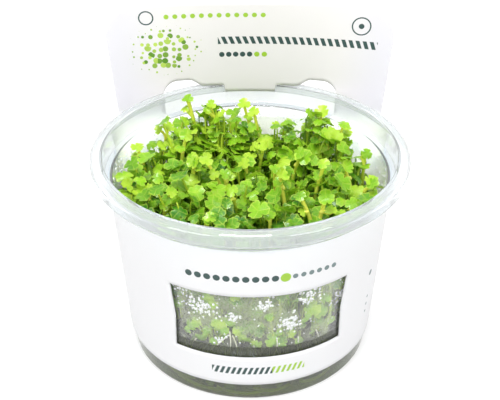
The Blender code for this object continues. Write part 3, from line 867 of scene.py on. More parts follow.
def card_points(angle, height):
    """Points of the card's outer face, by angle from the back in degrees and height.

    Each lies on an arc of curvature bend through the point depth behind the axis. On the
    cup bend and depth are those of the cone, and towards the header they change smoothly to
    those of a nearly flat sheet that passes outside the flange.
    """
    on_cup = card_radius(np.minimum(height, CARD_TOP))
    fade = 1.0 - smoothstep(*CARD_FLARE_FADE, np.abs(angle))
    flare = smoothstep(CARD_FLARE_START, CARD_FLARE_END, height) * fade
    above = np.maximum(height - CARD_FLARE_END, 0.0)
    up = above / (HEADER_TOP - CARD_FLARE_END)
    bend = mix(1.0 / on_cup, mix(1.0 / HEADER_BEND_LOW, 1.0 / HEADER_BEND_TOP, up), flare)
    depth = mix(on_cup, mix(HEADER_DEPTH_LOW, HEADER_DEPTH_TOP, up), flare)
    turn = np.radians(angle) * on_cup * (1.0 + HEADER_SPREAD * above / MM) * bend
    return np.stack(
        (np.sin(turn) / bend, depth - (1.0 - np.cos(turn)) / bend, height), axis=-1)


def angle_at(width):
    """The angle from the back of a point this far along the card, at the sleeve's top."""
    return np.degrees(width / card_radius(CARD_TOP))


def slot_edges(width):
    """Bottom and top of the slot at these distances along the card from its middle."""
    far = np.abs(width)
    past = np.maximum(far - (SLOT_HALF_WIDTH - SLOT_ROUNDING), 0.0)
    drop = SLOT_ROUNDING - np.sqrt(np.maximum(SLOT_ROUNDING ** 2 - past ** 2, 0.0))
    rise = smoothstep(TONGUE_HALF_WIDTH, TONGUE_HALF_WIDTH + TONGUE_FLARE, far)
    top = mix(TONGUE_BOTTOM, SLOT_TOP, rise)
    step = smoothstep(TAB_HALF_WIDTH, TAB_HALF_WIDTH + TAB_STEP, far)
    top = np.where(far <= TONGUE_HALF_WIDTH, mix(TAB_BOTTOM, TONGUE_BOTTOM, step), top)
    return SLOT_BOTTOM + SLOT_FOOT_SHARE * drop, top - drop


def header_top(width):
    past = np.maximum(np.abs(width) - (HEADER_HALF_WIDTH - HEADER_CORNER), 0.0)
    rounding = np.sqrt(np.maximum(HEADER_CORNER ** 2 - past ** 2, 0.0))
    return HEADER_TOP - HEADER_CORNER + rounding


def header_widths():
    """Places along the header's right half where the grid has a column, close at corners."""
    quarter = np.sin(np.radians(np.linspace(0.0, 90.0, 10)))
    return np.unique(np.round(np.concatenate((
        np.linspace(0.0, TAB_HALF_WIDTH, 6),
        np.linspace(TAB_HALF_WIDTH + TAB_STEP, TONGUE_HALF_WIDTH, 5),
        np.linspace(TONGUE_HALF_WIDTH, TONGUE_HALF_WIDTH + TONGUE_FLARE, 7),
        SLOT_HALF_WIDTH - SLOT_ROUNDING * (1.0 - quarter),
        np.linspace(SLOT_HALF_WIDTH, HEADER_HALF_WIDTH - HEADER_CORNER, 4),
        HEADER_HALF_WIDTH - HEADER_CORNER * (1.0 - quarter))), 7))


def window_shift(angle, height):
    """How far a column leans, in degrees, so that the window narrows towards its foot."""
    side = (angle - 180.0 + WINDOW_CENTRE + 180.0) % 360.0 - 180.0
    reach = np.minimum(np.abs(side) / WINDOW_HALF_ANGLE, 1.0)
    past = np.maximum(np.abs(side) - WINDOW_HALF_ANGLE, 0.0)
    reach *= np.maximum(0.0, 1.0 - past / WINDOW_SPREAD_FADE)
    middle = (WINDOW_BOTTOM + WINDOW_TOP) / 2
    slope = np.clip((height - middle) / (WINDOW_TOP - middle), -1.0, 1.0)
    return np.copysign(WINDOW_SPREAD * reach * slope, side)


def card_columns():
    """Each column's angle, its place along the header, and whether it is on the header."""
    half = header_widths()
    widths = np.concatenate((-half[:0:-1], half))
    end = angle_at(HEADER_HALF_WIDTH)
    around = np.concatenate((
        np.linspace(end, WINDOW_LEFT, SIDE_COLUMNS)[1:],
        np.linspace(WINDOW_LEFT, WINDOW_RIGHT, WINDOW_COLUMNS)[1:],
        np.linspace(WINDOW_RIGHT, 360.0 - end, SIDE_COLUMNS)[1:-1]))
    angles = np.concatenate((angle_at(widths), around))
    along = np.concatenate((widths, np.zeros(len(around))))
    return angles, along, np.arange(len(angles)) < len(widths)


def row_heights(along, on_header):
    """The height of every grid point, by column and row, in the bands of BAND_ROWS."""
    slot_low, slot_high = slot_edges(np.clip(along, -SLOT_HALF_WIDTH, SLOT_HALF_WIDTH))
    beside = np.abs(along) > SLOT_HALF_WIDTH + TAB_STEP
    slot_low = np.where(on_header & ~beside, slot_low, CARD_TOP)
    slot_high = np.where(beside, SLOT_TOP - SLOT_ROUNDING, slot_high)
    bands = (CARD_BOTTOM, WINDOW_BOTTOM, WINDOW_TOP, FLARE_ROW)
    edges = [np.full(len(along), height) for height in bands]
    edges += [slot_low, slot_high, header_top(along)]
    parts = [
        low[:, None] + (high - low)[:, None] * np.linspace(0.0, 1.0, count + 1)[None, :-1]
        for low, high, count in zip(edges, edges[1:], BAND_ROWS)]
    return np.concatenate(parts + [edges[-1][:, None]], axis=1)


def card_grid():
    """The outer face as one grid, less the cells of the window and the slot.

    Columns run by angle right round the card. Rows come in bands: foot, window, neck,
    flare, slot and header, and every band has the same number of rows in all columns.
    """
    angles, along, on_header = card_columns()
    heights = row_heights(along, on_header)
    shifted = angles[:, None] + np.where(
        on_header[:, None], 0.0, window_shift(angles[:, None], heights))
    signed = (shifted + 180.0) % 360.0 - 180.0
    points = card_points(signed, heights)
    columns, rows = heights.shape
    i = np.arange(columns)[:, None]
    j = (i + 1) % columns
    k = np.arange(rows - 1)[None, :]
    quads = np.stack((i * rows + k, i * rows + k + 1, j * rows + k + 1, j * rows + k), axis=-1)
    ends = np.cumsum(BAND_ROWS)
    band = np.searchsorted(ends, np.arange(rows - 1), side="right")[None, :]
    both = (on_header & on_header[j[:, 0]])[:, None]
    nudged = angles + GRID_SLACK_DEGREES
    at_window = (nudged >= WINDOW_LEFT) & (nudged < WINDOW_RIGHT) & ~on_header
    in_window = (band == WINDOW_BAND) & at_window[:, None]
    reach = np.maximum(np.abs(along), np.abs(along[j[:, 0]]))[:, None]
    in_slot = (band == SLOT_BAND) & both & (reach <= SLOT_HALF_WIDTH + GRID_SLACK)
    above = (band >= SLOT_BAND) & ~both
    kept = quads[~(in_window | in_slot | above)]
    printed = np.stack((np.radians(signed) * card_radius(CARD_TOP), heights), axis=-1)
    return points.reshape(-1, 3), kept.reshape(-1, 4), printed.reshape(-1, 2)


class Print:
    """Generic printed marks, as masks of 1 and 0 over a point's place on the sheet.

    The attributes along and up give that place in millimetres. Along is measured from the
    window side's middle on the sleeve, and from the header's middle on the header.
    """

    def __init__(self, look):
        self.look = look
        self.maths = look.maths
        self.along = look.value("along")
        self.up = look.value("up")

    def within(self, value, low, high):
        return self.maths("MULTIPLY", self.maths("GREATER_THAN", value, low),
                          self.maths("LESS_THAN", value, high))

    def distance(self, across, rise):
        return self.maths("SQRT", self.maths(
            "ADD", self.maths("MULTIPLY", across, across), self.maths("MULTIPLY", rise, rise)))

    def dots(self, start, end, height, pitch, radius):
        """A row of round dots."""
        cells = self.maths("DIVIDE", self.maths("SUBTRACT", self.along, start), pitch)
        across = self.maths(
            "MULTIPLY", self.maths("SUBTRACT", self.maths("FRACT", cells), 0.5), pitch)
        far = self.distance(across, self.maths("SUBTRACT", self.up, height))
        return self.maths("MULTIPLY", self.maths("LESS_THAN", far, radius),
                          self.within(self.along, start, end))

    def dashes(self, start, end, low, high, pitch, width, slant):
        """A row of slanting dashes."""
        leant = self.maths("SUBTRACT", self.along, self.maths("MULTIPLY", self.up, slant))
        cell = self.maths("FRACT", self.maths("DIVIDE", leant, pitch))
        mark = self.maths("MULTIPLY", self.maths("LESS_THAN", cell, width / pitch),
                          self.within(self.up, low, high))
        return self.maths("MULTIPLY", mark, self.within(self.along, start, end))

    def ring(self, middle, height, radius, line):
        """A thin ring."""
        far = self.distance(self.maths("SUBTRACT", self.along, middle),
                            self.maths("SUBTRACT", self.up, height))
        off = self.maths("ABSOLUTE", self.maths("SUBTRACT", far, radius))
        return self.maths("LESS_THAN", off, line)

    def marks(self, rows):
        """1 where any of the marks in rows of a kind and its numbers lies."""
        covered = 0.0
        for kind, *numbers in rows:
            covered = self.maths("MAXIMUM", covered, getattr(self, kind)(*numbers))
        return covered

    def bubbles(self, middle, level, half_width, half_height):
        """An oval of scattered discs, smaller towards its edge, and a random shade for each."""
        look = self.look
        flat = look.node("ShaderNodeCombineXYZ", {"X": self.along, "Y": self.up})
        cells = look.node("ShaderNodeTexVoronoi", {
            "Vector": flat.outputs["Vector"], "Scale": BUBBLE_DENSITY,
            "Randomness": BUBBLE_DISORDER}, voronoi_dimensions="2D")
        shade = look.node("ShaderNodeSeparateColor", {"Color": cells.outputs["Color"]})
        across = self.maths("DIVIDE", self.maths("SUBTRACT", self.along, middle), half_width)
        rise = self.maths("DIVIDE", self.maths("SUBTRACT", self.up, level), half_height)
        inward = look.span(self.distance(across, rise), 0.35, 1.0, 1.0, 0.0)
        size = self.maths("MULTIPLY", inward, look.span(
            shade.outputs["Green"], 0.0, 1.0, *BUBBLE_SIZES))
        return self.maths("LESS_THAN", cells.outputs["Distance"], size), shade.outputs["Red"]


def coated_card(look, colour):
    """The card's surface: satin coating over fine fibres that let some light through."""
    fibres = look.noise(look.place(), 1400.0, detail=4.0)
    paper = look.principled(
        Base_Color=colour, Roughness=look.span(fibres, 0.3, 0.7, 0.34, 0.5),
        Normal=look.bump(fibres, 0.12, 0.04 * MM), Coat_Weight=0.12, Coat_Roughness=0.25)
    return look.done(look.glowing(0.25, paper, colour))


def sleeve_card(settings):
    """White outside of the card, with a dotted line over the window and dashes under it."""
    look = Finish("white_card_sleeve")
    clouding = look.noise(look.place(), 60.0, detail=2.0)
    colour = look.blend(
        look.span(clouding, 0.3, 0.7, 0.0, 0.12), settings.sleeve, SLEEVE_CLOUD)
    ink = Print(look)
    spot = look.node("ShaderNodeSeparateXYZ", {"Vector": look.place()})
    front = look.maths("LESS_THAN", spot.outputs["Y"], SLEEVE_PRINT_BEFORE)
    for rows, paint in ((SLEEVE_DARK, settings.dark_ink), (SLEEVE_SLATE, SLATE_INK),
                        (SLEEVE_LIME, settings.lime_ink)):
        colour = look.blend(look.maths("MULTIPLY", ink.marks(rows), front), colour, paint)
    return coated_card(look, colour)


def header_card(settings):
    """Inside of the card, which is the header's face: pale grey with a generic trim."""
    look = Finish("white_card_header")
    ink = Print(look)
    clouding = look.noise(look.place(), 50.0, detail=2.0)
    grey = look.blend(look.span(clouding, 0.3, 0.7, 0.0, 0.2), settings.header, HEADER_CLOUD)
    ends = look.span(look.maths("ABSOLUTE", ink.along), 26.0, 44.0)
    grey = look.blend(ends, grey, HEADER_ENDS)
    # Painted light: below the header the card's inside is a brighter, creamier white than the
    # card, for the back light that shines through it behind the plants
    colour = look.blend(look.span(ink.up, 58.0, 62.0), CARD_INSIDE_AND_GLOW, grey)
    field, shade = ink.bubbles(*HEADER_BUBBLES)
    colour = look.blend(ink.marks(HEADER_DARK), colour, settings.dark_ink)
    colour = look.blend(ink.marks(HEADER_LIME), colour, settings.lime_ink)
    leafy = look.blend(shade, BUBBLE_GREEN, BUBBLE_LIME)
    return coated_card(look, look.blend(field, colour, leafy))


# Plantlet layout, as in the solids

def leaf_axes(normal, spin):
    """Two directions in the blade's plane, at right angles to its normal."""
    flat = np.stack((np.cos(spin), np.sin(spin), np.zeros_like(spin)), axis=-1)
    side = unit(np.cross(normal, flat))
    return side, np.cross(normal, side)


def leaf_samples(leaf):
    """Points spread over a blade, to test its distance from other plantlets."""
    side, across = leaf_axes(leaf["normal"], np.float64(leaf["spin"]))
    points = [leaf["centre"]]
    for ring, count in SAMPLE_RINGS:
        angle = np.arange(count) * math.tau / count
        flat = np.outer(np.cos(angle), side) + np.outer(np.sin(angle), across)
        lift = LEAF_CUP * ring * ring * leaf["radius"] * leaf["normal"]
        points.extend(leaf["centre"] + ring * leaf["radius"] * flat + lift)
    return np.array(points)


def inside_cup(points):
    """True if all points are clear of the cup's wall."""
    radius = np.hypot(points[:, 0], points[:, 1])
    height = np.minimum(points[:, 2], LEDGE_HEIGHT)
    return bool(np.all(radius < cup_inside(height) - WALL_CLEARANCE))


def canopy_height(x, y, draw):
    """Where a plantlet's leaves stand: a level carpet, a little higher towards the back."""
    slope = CANOPY_RISE * y / ROOT_SPREAD
    return CANOPY_HEIGHT + slope + draw.uniform(-CANOPY_NOISE, CANOPY_NOISE)


def draw_leaf(node, goal, heading, leaning, draw):
    """One leaf on its petiole, drawn at random round the stem."""
    reach = draw.uniform(*LEAF_REACH)
    outward = np.array((math.cos(heading), math.sin(heading), 0.0))
    upward = np.array((0.0, 0.0, 1.0))
    centre = node + reach * outward
    centre[2] = goal + draw.uniform(-LEAF_HEIGHT_NOISE, LEAF_HEIGHT_NOISE)
    tilt = math.radians(draw.uniform(*LEAF_TILT))
    normal = math.sin(tilt) * outward + math.cos(tilt) * upward
    leaning = math.radians(leaning)
    leaving = math.sin(leaning) * outward + math.cos(leaning) * upward
    length = PETIOLE_PULL * np.linalg.norm(centre - node)
    controls = (node, length * leaving, LEAF_NECK * normal, centre)
    return {
        "centre": centre, "normal": normal, "spin": draw.uniform(0.0, math.tau),
        "radius": draw.uniform(*LEAF_RADIUS), "controls": controls,
        "petiole": curve_paths(*controls, PETIOLE_POINTS)}


def clear_of(points, others):
    if not len(others):
        return True
    apart = np.linalg.norm(points[:, None, :] - others[None, :, :], axis=2)
    return float(apart.min()) > CLEARANCE


def finely(path, count=PATH_SAMPLES):
    """The same path with more points, for distance tests."""
    t = np.linspace(0.0, len(path) - 1.0, count)
    low = np.minimum(t.astype(int), len(path) - 2)
    return path[low] + (t - low)[:, None] * (path[low + 1] - path[low])


def draw_stem(x, y, draw):
    """An upright root in its pocket, then a stem that leans a little as it climbs."""
    lean = draw.uniform(-STEM_LEAN, STEM_LEAN, 2)
    return np.array((
        (x, y, ROOT_BOTTOM),
        (x, y, GEL_HEIGHT + STEM_FOOT_RISE),
        (x + lean[0], y + lean[1], draw.uniform(*STEM_TOP))))


def grow(number, draw, taken):
    """A plantlet at its place in a sunflower spiral, clear of those already grown."""
    spread = ROOT_SPREAD * math.sqrt((number + 0.5) / PLANTLETS)
    turn = spiral_turn(number)
    x = spread * math.cos(turn)
    y = spread * math.sin(turn)
    stem = draw_stem(x, y, draw)
    samples = [finely(stem)]
    goal = canopy_height(x, y, draw)
    tall = number % TALL_EVERY == 2 and y > TALL_FRONT and spread < TALL_SPREAD
    leaves = []
    wanted = 3 if number % 2 else 2
    for k in range(wanted):
        level = goal + (TALL_EXTRA if tall and k == 0 else 0.0) - k * LEAF_STEP_DOWN
        heading = turn + k * math.tau / wanted + draw.uniform(-HEADING_NOISE, HEADING_NOISE)
        fork = stem[-1] if k == 0 else mix(stem[-2], stem[-1], FORK_LEVELS[k - 1])
        for _ in range(TRIES):
            leaf = draw_leaf(fork, level, heading, 0.0 if k == 0 else FORK_ANGLE, draw)
            heading += HEADING_STEP
            spots = np.vstack((leaf_samples(leaf), finely(leaf["petiole"])))
            if inside_cup(spots) and clear_of(spots, taken):
                leaves.append(leaf)
                samples.append(spots)
                break
        if not leaves:
            break
    return {"root": (x, y), "stem": stem, "leaves": leaves}, np.vstack(samples)


def plant_layout():
    """Every plantlet's stem, petioles and leaves, none touching another plantlet's."""
    draw = np.random.default_rng(SEED)
    taken = np.empty((0, 3))
    plantlets = []
    for number in range(PLANTLETS):
        plantlet, samples = grow(number, draw, taken)
        if plantlet["leaves"]:
            plantlets.append(plantlet)
            taken = np.vstack((taken, samples))
    return plantlets


# Blades

def blade_outline(fine):
    """Angle, reach and distance from its lobe's midline for each spoke of a blade.

    Along a lobe, m runs from 1 at one sinus to 0 at the midline and back to 1. The rim
    reaches SINUS_REACH plus the rest times (1 - m to the power LOBE_SHARPNESS), less a
    bell-shaped dip at each notch between the teeth.
    """
    place = np.array(LOBE_PLACES)
    if fine:
        between = (place + np.append(place[1:], 1.0)) / 2
        place = np.stack((place, between), axis=1).ravel()
    midline = np.abs(2.0 * place - 1.0)
    reach = SINUS_REACH + (1.0 - SINUS_REACH) * (1.0 - midline ** LOBE_SHARPNESS)
    for notch in TOOTH_NOTCHES:
        reach = reach - NOTCH_DEPTH * np.exp(-((place - notch) / NOTCH_WIDTH) ** 2)
    lobe = np.arange(LOBES)[:, None]
    angle = (lobe + place[None, :]) * math.tau / LOBES
    return angle.ravel(), np.tile(reach, LOBES), np.tile(midline, LOBES)


def blades(leaves, fine=False):
    """Lobed blades, all at once, from arrays of centre, normal, spin, radius, cup and wave.

    A point at share s from the centre to the rim on the spoke at angle t lies in the
    blade's plane at radius * s * reach(t). It is lifted by the radius times cup * (s
    reach)^2, plus a ruffle that follows sin(2t + wave), less a crease along each midline.
    """
    angle, reach, midline = blade_outline(fine)
    rings = np.array(FINE_RINGS if fine else COARSE_RINGS)
    side, across = leaf_axes(leaves["normal"], leaves["spin"])
    out = rings[:, None] * reach[None, :]
    flat = (np.cos(angle)[None, None, :, None] * side[:, None, None, :]
            + np.sin(angle)[None, None, :, None] * across[:, None, None, :])
    wave = leaves["wave"][:, None, None]
    lift = leaves["cup"][:, None, None] * out ** 2
    lift = lift + RUFFLE * out ** 2 * np.sin(2.0 * angle[None, None, :] + wave)
    lift = lift - CREASE * out * (1.0 - midline) ** 2
    shape = out[None, :, :, None] * flat + lift[..., None] * leaves["normal"][:, None, None, :]
    radius = leaves["radius"][:, None, None, None]
    centre = leaves["centre"][:, None, None, :]
    rim = (centre + radius * shape).reshape(len(wave), -1, 3)
    points = np.concatenate((leaves["centre"][:, None, :], rim), axis=1)
    spokes = len(angle)
    step = np.arange(spokes)
    after = (step + 1) % spokes
    fan = np.stack((np.zeros(spokes, int), 1 + step, 1 + after), axis=-1)
    rows = 1 + np.arange(len(rings) - 1)[:, None] * spokes
    quads = np.stack(
        (rows + step, rows + spokes + step, rows + spokes + after, rows + after), axis=-1)
    each = points.shape[1]
    faces = repeated(fan, each, len(wave)).tolist()
    faces += repeated(quads.reshape(-1, 4), each, len(wave)).tolist()
    lines = np.concatenate(((0.0,), np.tile(midline, len(rings))))
    outs = np.concatenate(((0.0,), np.repeat(rings, spokes)))
    values = {
        "midline": np.tile(lines, len(wave)), "out": np.tile(outs, len(wave)),
        "tone": np.repeat(leaves["tone"], each)}
    return points.reshape(-1, 3), faces, values


def leaf_arrays(draw, centre, normal, radius, cup):
    """What blades() takes, less the tone. Cup is the lowest and the highest cup."""
    count = len(radius)
    return {
        "centre": centre, "normal": normal, "spin": draw.uniform(0.0, math.tau, count),
        "radius": radius, "cup": draw.uniform(*cup, count),
        "wave": draw.uniform(0.0, math.tau, count)}


def joined(*groups):
    """Several (points, faces, values) groups as one."""
    points = []
    faces = []
    start = 0
    for group_points, group_faces, _ in groups:
        points.append(group_points)
        faces += [[corner + start for corner in face] for face in group_faces]
        start += len(group_points)
    values = {label: np.concatenate([np.ravel(group[2][label]) for group in groups])
              for label in groups[0][2]}
    return np.vstack(points), faces, values


def with_tone(points, faces, tone, each):
    """A tube group's values: the same tone for all points of one tube."""
    return points, faces, {"tone": np.repeat(tone, each)}


def even_tubes(paths, radius, sides, tone):
    """A tube group of one radius along all paths, with a tone for each."""
    points, faces = tubes(paths, np.full(paths.shape[:2], radius), sides)
    return with_tone(points, faces, tone, paths.shape[1] * sides)


def upright(pull, count):
    """The same upward pull for each of count curves."""
    return np.broadcast_to(np.array((0.0, 0.0, pull)), (count, 3))


def under(leaves):
    """Where petioles end: just below the middle of each blade, so that none pokes through."""
    return leaves["centre"] - PETIOLE_END_DEPTH * leaves["normal"]


def petioles(starts, leaving, arriving, ends, radii, draw, length=8, sides=4, funnel=0.0):
    """Petioles as tubes along cubic curves, thinner towards the blade.

    At share t of its length a petiole is 1.15 - 0.4 t + funnel t^3 times its radius wide.
    """
    paths = curve_paths(starts, leaving, arriving, ends, length)
    t = np.linspace(0.0, 1.0, length)
    taper = 1.15 - 0.4 * t + funnel * t ** 3
    points, faces = tubes(paths, radii[:, None] * taper[None, :], sides)
    return with_tone(points, faces, draw.uniform(0.0, 0.6, len(starts)), length * sides)


def carpet_hills(x, y):
    """The top of the carpet: low hills, higher at the back, with one dip there.

    The hills are crossed sine waves. The dip is a bell round its middle.
    """
    hills = (np.sin(x / (3.1 * MM) + 0.7) * np.cos(y / (4.3 * MM) + 1.1)
             + np.sin((x + y) / (5.2 * MM) + 2.0) + 0.8 * np.sin((x - 1.4 * y) / (6.1 * MM)))
    bare = np.exp(-((x - DIP_MIDDLE[0]) ** 2 + (y - DIP_MIDDLE[1]) ** 2) / DIP_WIDTH ** 2)
    rise = CANOPY_RISE * y / ROOT_SPREAD
    return CANOPY_HEIGHT + rise + HILL * hills - DIP_DEPTH * bare


def spread_out(centres, sizes, rounds=14):
    """Push leaf centres apart sideways until blades overlap less.

    In each round, two centres nearer than CROWDING times the sum of their radii move apart
    along the line between them, a quarter of what is missing each. Height counts for more
    than width, and no leaf leaves the cup.
    """
    for _ in range(rounds):
        gap = centres[:, None, :] - centres[None, :, :]
        stretched = gap * np.array((1.0, 1.0, LEVEL_WEIGHT))
        far = np.linalg.norm(stretched, axis=-1) + 1e-9
        wish = CROWDING * (sizes[:, None] + sizes[None, :])
        push = np.clip(wish - far, 0.0, None) / far * 0.25
        np.fill_diagonal(push, 0.0)
        move = np.sum(gap * push[..., None], axis=1)
        length = np.linalg.norm(move, axis=-1, keepdims=True)
        centres = centres + move * np.minimum(1.0, LONGEST_PUSH / (length + 1e-9))
        reach = np.hypot(centres[:, 0], centres[:, 1])
        limit = cup_inside(np.minimum(centres[:, 2], LEDGE_HEIGHT)) - 0.85 * sizes - 0.4 * MM
        centres[:, :2] *= np.minimum(1.0, limit / reach)[:, None]
    return centres


# Young leaves on stalks that stand out of the carpet, in mm: foot, top and blade radius
STALKS = (
    (-18, 30, 58, -21, 31, 71, 2.1), (-29, 24, 56, -27, 24, 64, 2.2),
    (-10, 29, 59, -13, 28, 70, 1.8), (1, 29, 56, -2, 29, 70, 2.3), (-9, 5, 53, -14, 5, 62, 2.4),
    (-7, 3, 53, -8, 3, 58, 2.0), (8, 1, 53, 8, 1, 61, 2.2), (11, -3, 53, 10, -3, 61, 2.4),
    (21, 1, 53, 23, 1, 63, 2.2), (26, 21, 53, 26, 21, 63, 2.6), (19, -17, 53, 15, -17, 62, 2.0),
    (21, -17, 53, 23, -18, 62, 2.6), (35, -4, 53, 38, -5, 60, 2.6),
    (-27, -10, 53, -24, -10, 59, 2.2), (37, 11, 53, 38, 11, 61, 2.0),
    (-1, 9, 53, -2, 9, 58, 2.4), (6, -20, 53, 6, -20, 57, 1.9), (-32, -7, 53, -32, -7, 58, 2.3),
    (29, 23, 56, 31, 22, 66, 2.3), (3, 27, 59, 1, 25, 69, 2.2), (22, 28, 57, 24, 27, 68, 2.6),
    (-35, 17, 54, -37, 17, 60, 2.4), (3, 17, 53, 4, 17, 60, 2.5), (33, 4, 53, 31, 4, 60, 2.4),
    (-4, -8, 53, -6, -9, 59, 2.2), (-19, 8, 53, -18, 7, 60, 2.5),
    (-23, 17, 54, -21, 18, 64, 2.3), (14, 12, 53, 16, 11, 61, 2.3),
    (-14, -22, 52, -12, -23, 58, 2.0), (28, -14, 52, 31, -15, 58, 2.2))

# Heaps of leaves at the back that rise over the carpet, in mm: middle, spread and count
HEAPS = (
    (-28, 20, 58, 2.4, 8), (-20, 27, 60, 3.2, 14), (-12, 29, 64, 3.6, 24),
    (-6, 27, 61, 3.0, 12), (1, 28, 61, 2.4, 7), (12, 28, 61, 2.8, 12), (22, 27, 64, 3.0, 16),
    (29, 22, 61, 2.8, 10), (-21, 25, 56, 2.8, 9), (-12, 26, 58, 3.2, 14), (-3, 26, 57, 2.6, 9),
    (14, 26, 57, 2.6, 8), (23, 24, 58, 3.0, 12))


def heaped_leaves(settings):
    """Centres and radii of the leaves in the heaps, spread evenly through balls."""
    draw = draws("heaps")
    heaps = np.array(HEAPS)
    rows = np.repeat(heaps, heaps[:, 4].astype(int), axis=0)
    way = unit(draw.normal(0.0, 1.0, (len(rows), 3)))
    far = HEAP_SPREAD * rows[:, 3:4] * draw.uniform(0.0, 1.0, (len(rows), 1)) ** (1.0 / 3.0)
    centres = (rows[:, 0:3] + way * far) * MM
    return centres, settings.leaf_size * draw.uniform(*HEAP_SIZES, len(rows))


def clear_of_stalks(centres, sizes):
    """True for each leaf that doesn't hide the upper part of a stalk from the camera.

    Leaves and stalks are laid flat along the view. A leaf hides a stalk if it is nearer to the
    camera and its middle lies within 0.7 of its radius and 0.5 mm of the stalk's line.
    """
    view = unit(np.array(CAMERA_PLACE) - np.array(CAMERA_AIM))
    rows = np.array(STALKS) * MM
    top = rows[:, 3:6]
    low = mix(rows[:, 0:3], top, 0.2)
    line = top - low
    flat_line = line - (line @ view)[:, None] * view
    gap = centres[:, None, :] - low[None, :, :]
    flat_gap = gap - (gap @ view)[..., None] * view
    share = np.sum(flat_gap * flat_line, axis=-1) / np.sum(flat_line ** 2, axis=-1)
    share = np.clip(share, 0.0, 1.0)
    apart = np.linalg.norm(flat_gap - share[..., None] * flat_line, axis=-1)
    nearer = gap @ view - share * (line @ view) > -1.0 * MM
    hides = nearer & (apart < 0.7 * sizes[:, None] + 0.5 * MM)
    return ~np.any(hides, axis=1)


def carpet_leaves(settings):
    """The small leaves near the top of the cup, as arrays."""
    draw = draws("carpet")
    count = settings.carpet_leaves
    reach, turn = spiral(count, CARPET_REACH)
    turn = turn + draw.uniform(-0.3, 0.3, count)
    x = reach * np.cos(turn)
    y = reach * np.sin(turn)
    sizes = settings.leaf_size * draw.uniform(*CARPET_SIZES, count)
    depth = CARPET_DEPTH * draw.uniform(0.0, 1.0, count) ** 1.2
    centres = np.stack((x, y, carpet_hills(x, y) - depth), axis=-1)
    centres = spread_out(centres, sizes)
    kept = clear_of_stalks(centres, sizes)
    heaped, heaped_sizes = heaped_leaves(settings)
    centres = np.vstack((centres[kept], heaped))
    sizes = np.concatenate((sizes[kept], heaped_sizes))
    total = len(centres)
    heading = draw.uniform(0.0, math.tau, total)
    tilt = np.radians(draw.uniform(*CARPET_TILT, total))
    height = smoothstep(*CARPET_AGEING, centres[:, 2])
    # Painted shade: leaves towards the front are painted darker, for the shade that lies over
    # the front of the carpet
    painted_front_shade = smoothstep(*FRONT_SHADE, -centres[:, 1])
    tone = draw.normal(*CARPET_TONE, total) + 0.40 * height - 0.56 * painted_front_shade
    leaves = leaf_arrays(draw, centres, tilted(heading, tilt), sizes, CARPET_CUP)
    leaves["tone"] = np.clip(tone, 0.0, 1.0)
    return leaves


def stalk_leaves():
    """The blades on the stalks, one at each top and a smaller one below it, and their feet."""
    draw = draws("stalks")
    rows = np.array(STALKS)
    foot = rows[:, 0:3] * MM
    top = rows[:, 3:6] * MM
    below = mix(foot, top, SECOND_LEAF_PLACE) + draw.uniform(-2.6, 2.6, top.shape) * MM
    centres = np.vstack((top, below))
    sizes = np.concatenate((rows[:, 6], SECOND_LEAF_SIZE * rows[:, 6])) * MM
    total = len(centres)
    heading = draw.uniform(*STALK_HEADING, total)
    tilt = np.radians(draw.uniform(*STALK_TILT, total))
    leaves = leaf_arrays(draw, centres, tilted(heading, tilt), sizes, STALK_CUP)
    leaves["tone"] = np.clip(draw.normal(*STALK_TONE, total), 0.0, 1.0)
    side_foot = mix(foot, top, SECOND_STALK_PLACE)
    return leaves, np.vstack((foot - np.array((0.0, 0.0, 4.0 * MM)), side_foot))


def tuft_places(count):
    """Where the tufts stand on the gel, in a sunflower spiral."""
    reach, turn = spiral(count, TUFT_REACH)
    turn = turn + TUFT_TURN
    return np.stack((reach * np.cos(turn), reach * np.sin(turn)), axis=-1)


def hang_on_tufts(leaves, places, drop, draw):
    """Petiole ends on the nearest tuft, below each leaf by the given drops."""
    centres = leaves["centre"]
    apart = np.linalg.norm(centres[:, None, :2] - places[None, :, :], axis=-1)
    base = places[np.argmin(apart, axis=1)]
    inward = mix(base, centres[:, :2], draw.uniform(0.25, 0.6, (len(centres), 1)))
    height = np.maximum(centres[:, 2] - drop, GEL_HEIGHT + 1.0 * MM)
    return np.concatenate((inward, height[:, None]), axis=1)


def hung(leaves, places, drop, pulls, radii, draw):
    """Petioles from the tufts to the leaves, with a pull for each end and radii in mm."""
    starts = hang_on_tufts(leaves, places, drop, draw)
    total = len(starts)
    return petioles(starts, upright(pulls[0], total), pulls[1] * leaves["normal"],
                    under(leaves), draw.uniform(*radii, total) * MM, draw)


# Leaves pressed to the wall inside the window: degrees from the front, height and radius in mm
WINDOW_LEAVES = (
    (-18.0, 40.0, 2.8), (-15.5, 38.2, 2.0), (-13.5, 30.0, 3.0), (-9.5, 30.6, 2.6),
    (-12.0, 27.6, 2.4), (-27.0, 27.0, 2.6), (-24.0, 29.0, 2.0), (-26.5, 21.4, 2.9),
    (-22.5, 23.0, 2.4), (17.5, 38.6, 2.8), (21.5, 37.4, 2.5), (29.0, 32.8, 3.4),
    (33.0, 30.6, 3.0), (26.0, 29.6, 2.6), (35.0, 35.4, 2.2), (-2.0, 24.2, 2.9),
    (2.5, 22.6, 2.4), (10.5, 23.4, 3.0), (14.5, 22.0, 2.4), (23.0, 21.0, 2.2),
    (-33.0, 34.0, 2.2), (39.0, 25.0, 2.2), (-6.0, 41.5, 2.0), (8.0, 34.0, 1.8),
    (-29.0, 24.6, 1.7), (-19.5, 26.2, 1.8), (-16.0, 22.6, 1.9), (-5.5, 27.8, 1.8),
    (5.0, 29.6, 1.7), (12.4, 27.0, 1.9), (19.0, 25.4, 1.8), (30.0, 23.6, 1.9))
# Leaves sunk in the gel by the wall: degrees from the front, height and radius in mm
SUNK_LEAVES = (
    (-19.0, 5.0, 1.5), (-9.5, 4.4, 1.9), (3.5, 5.8, 1.3), (-30.0, 6.2, 1.6), (25.0, 5.8, 1.4),
    (14.0, 4.8, 1.1), (38.0, 6.0, 1.5), (-52.0, 6.4, 1.7), (57.0, 6.0, 1.6))
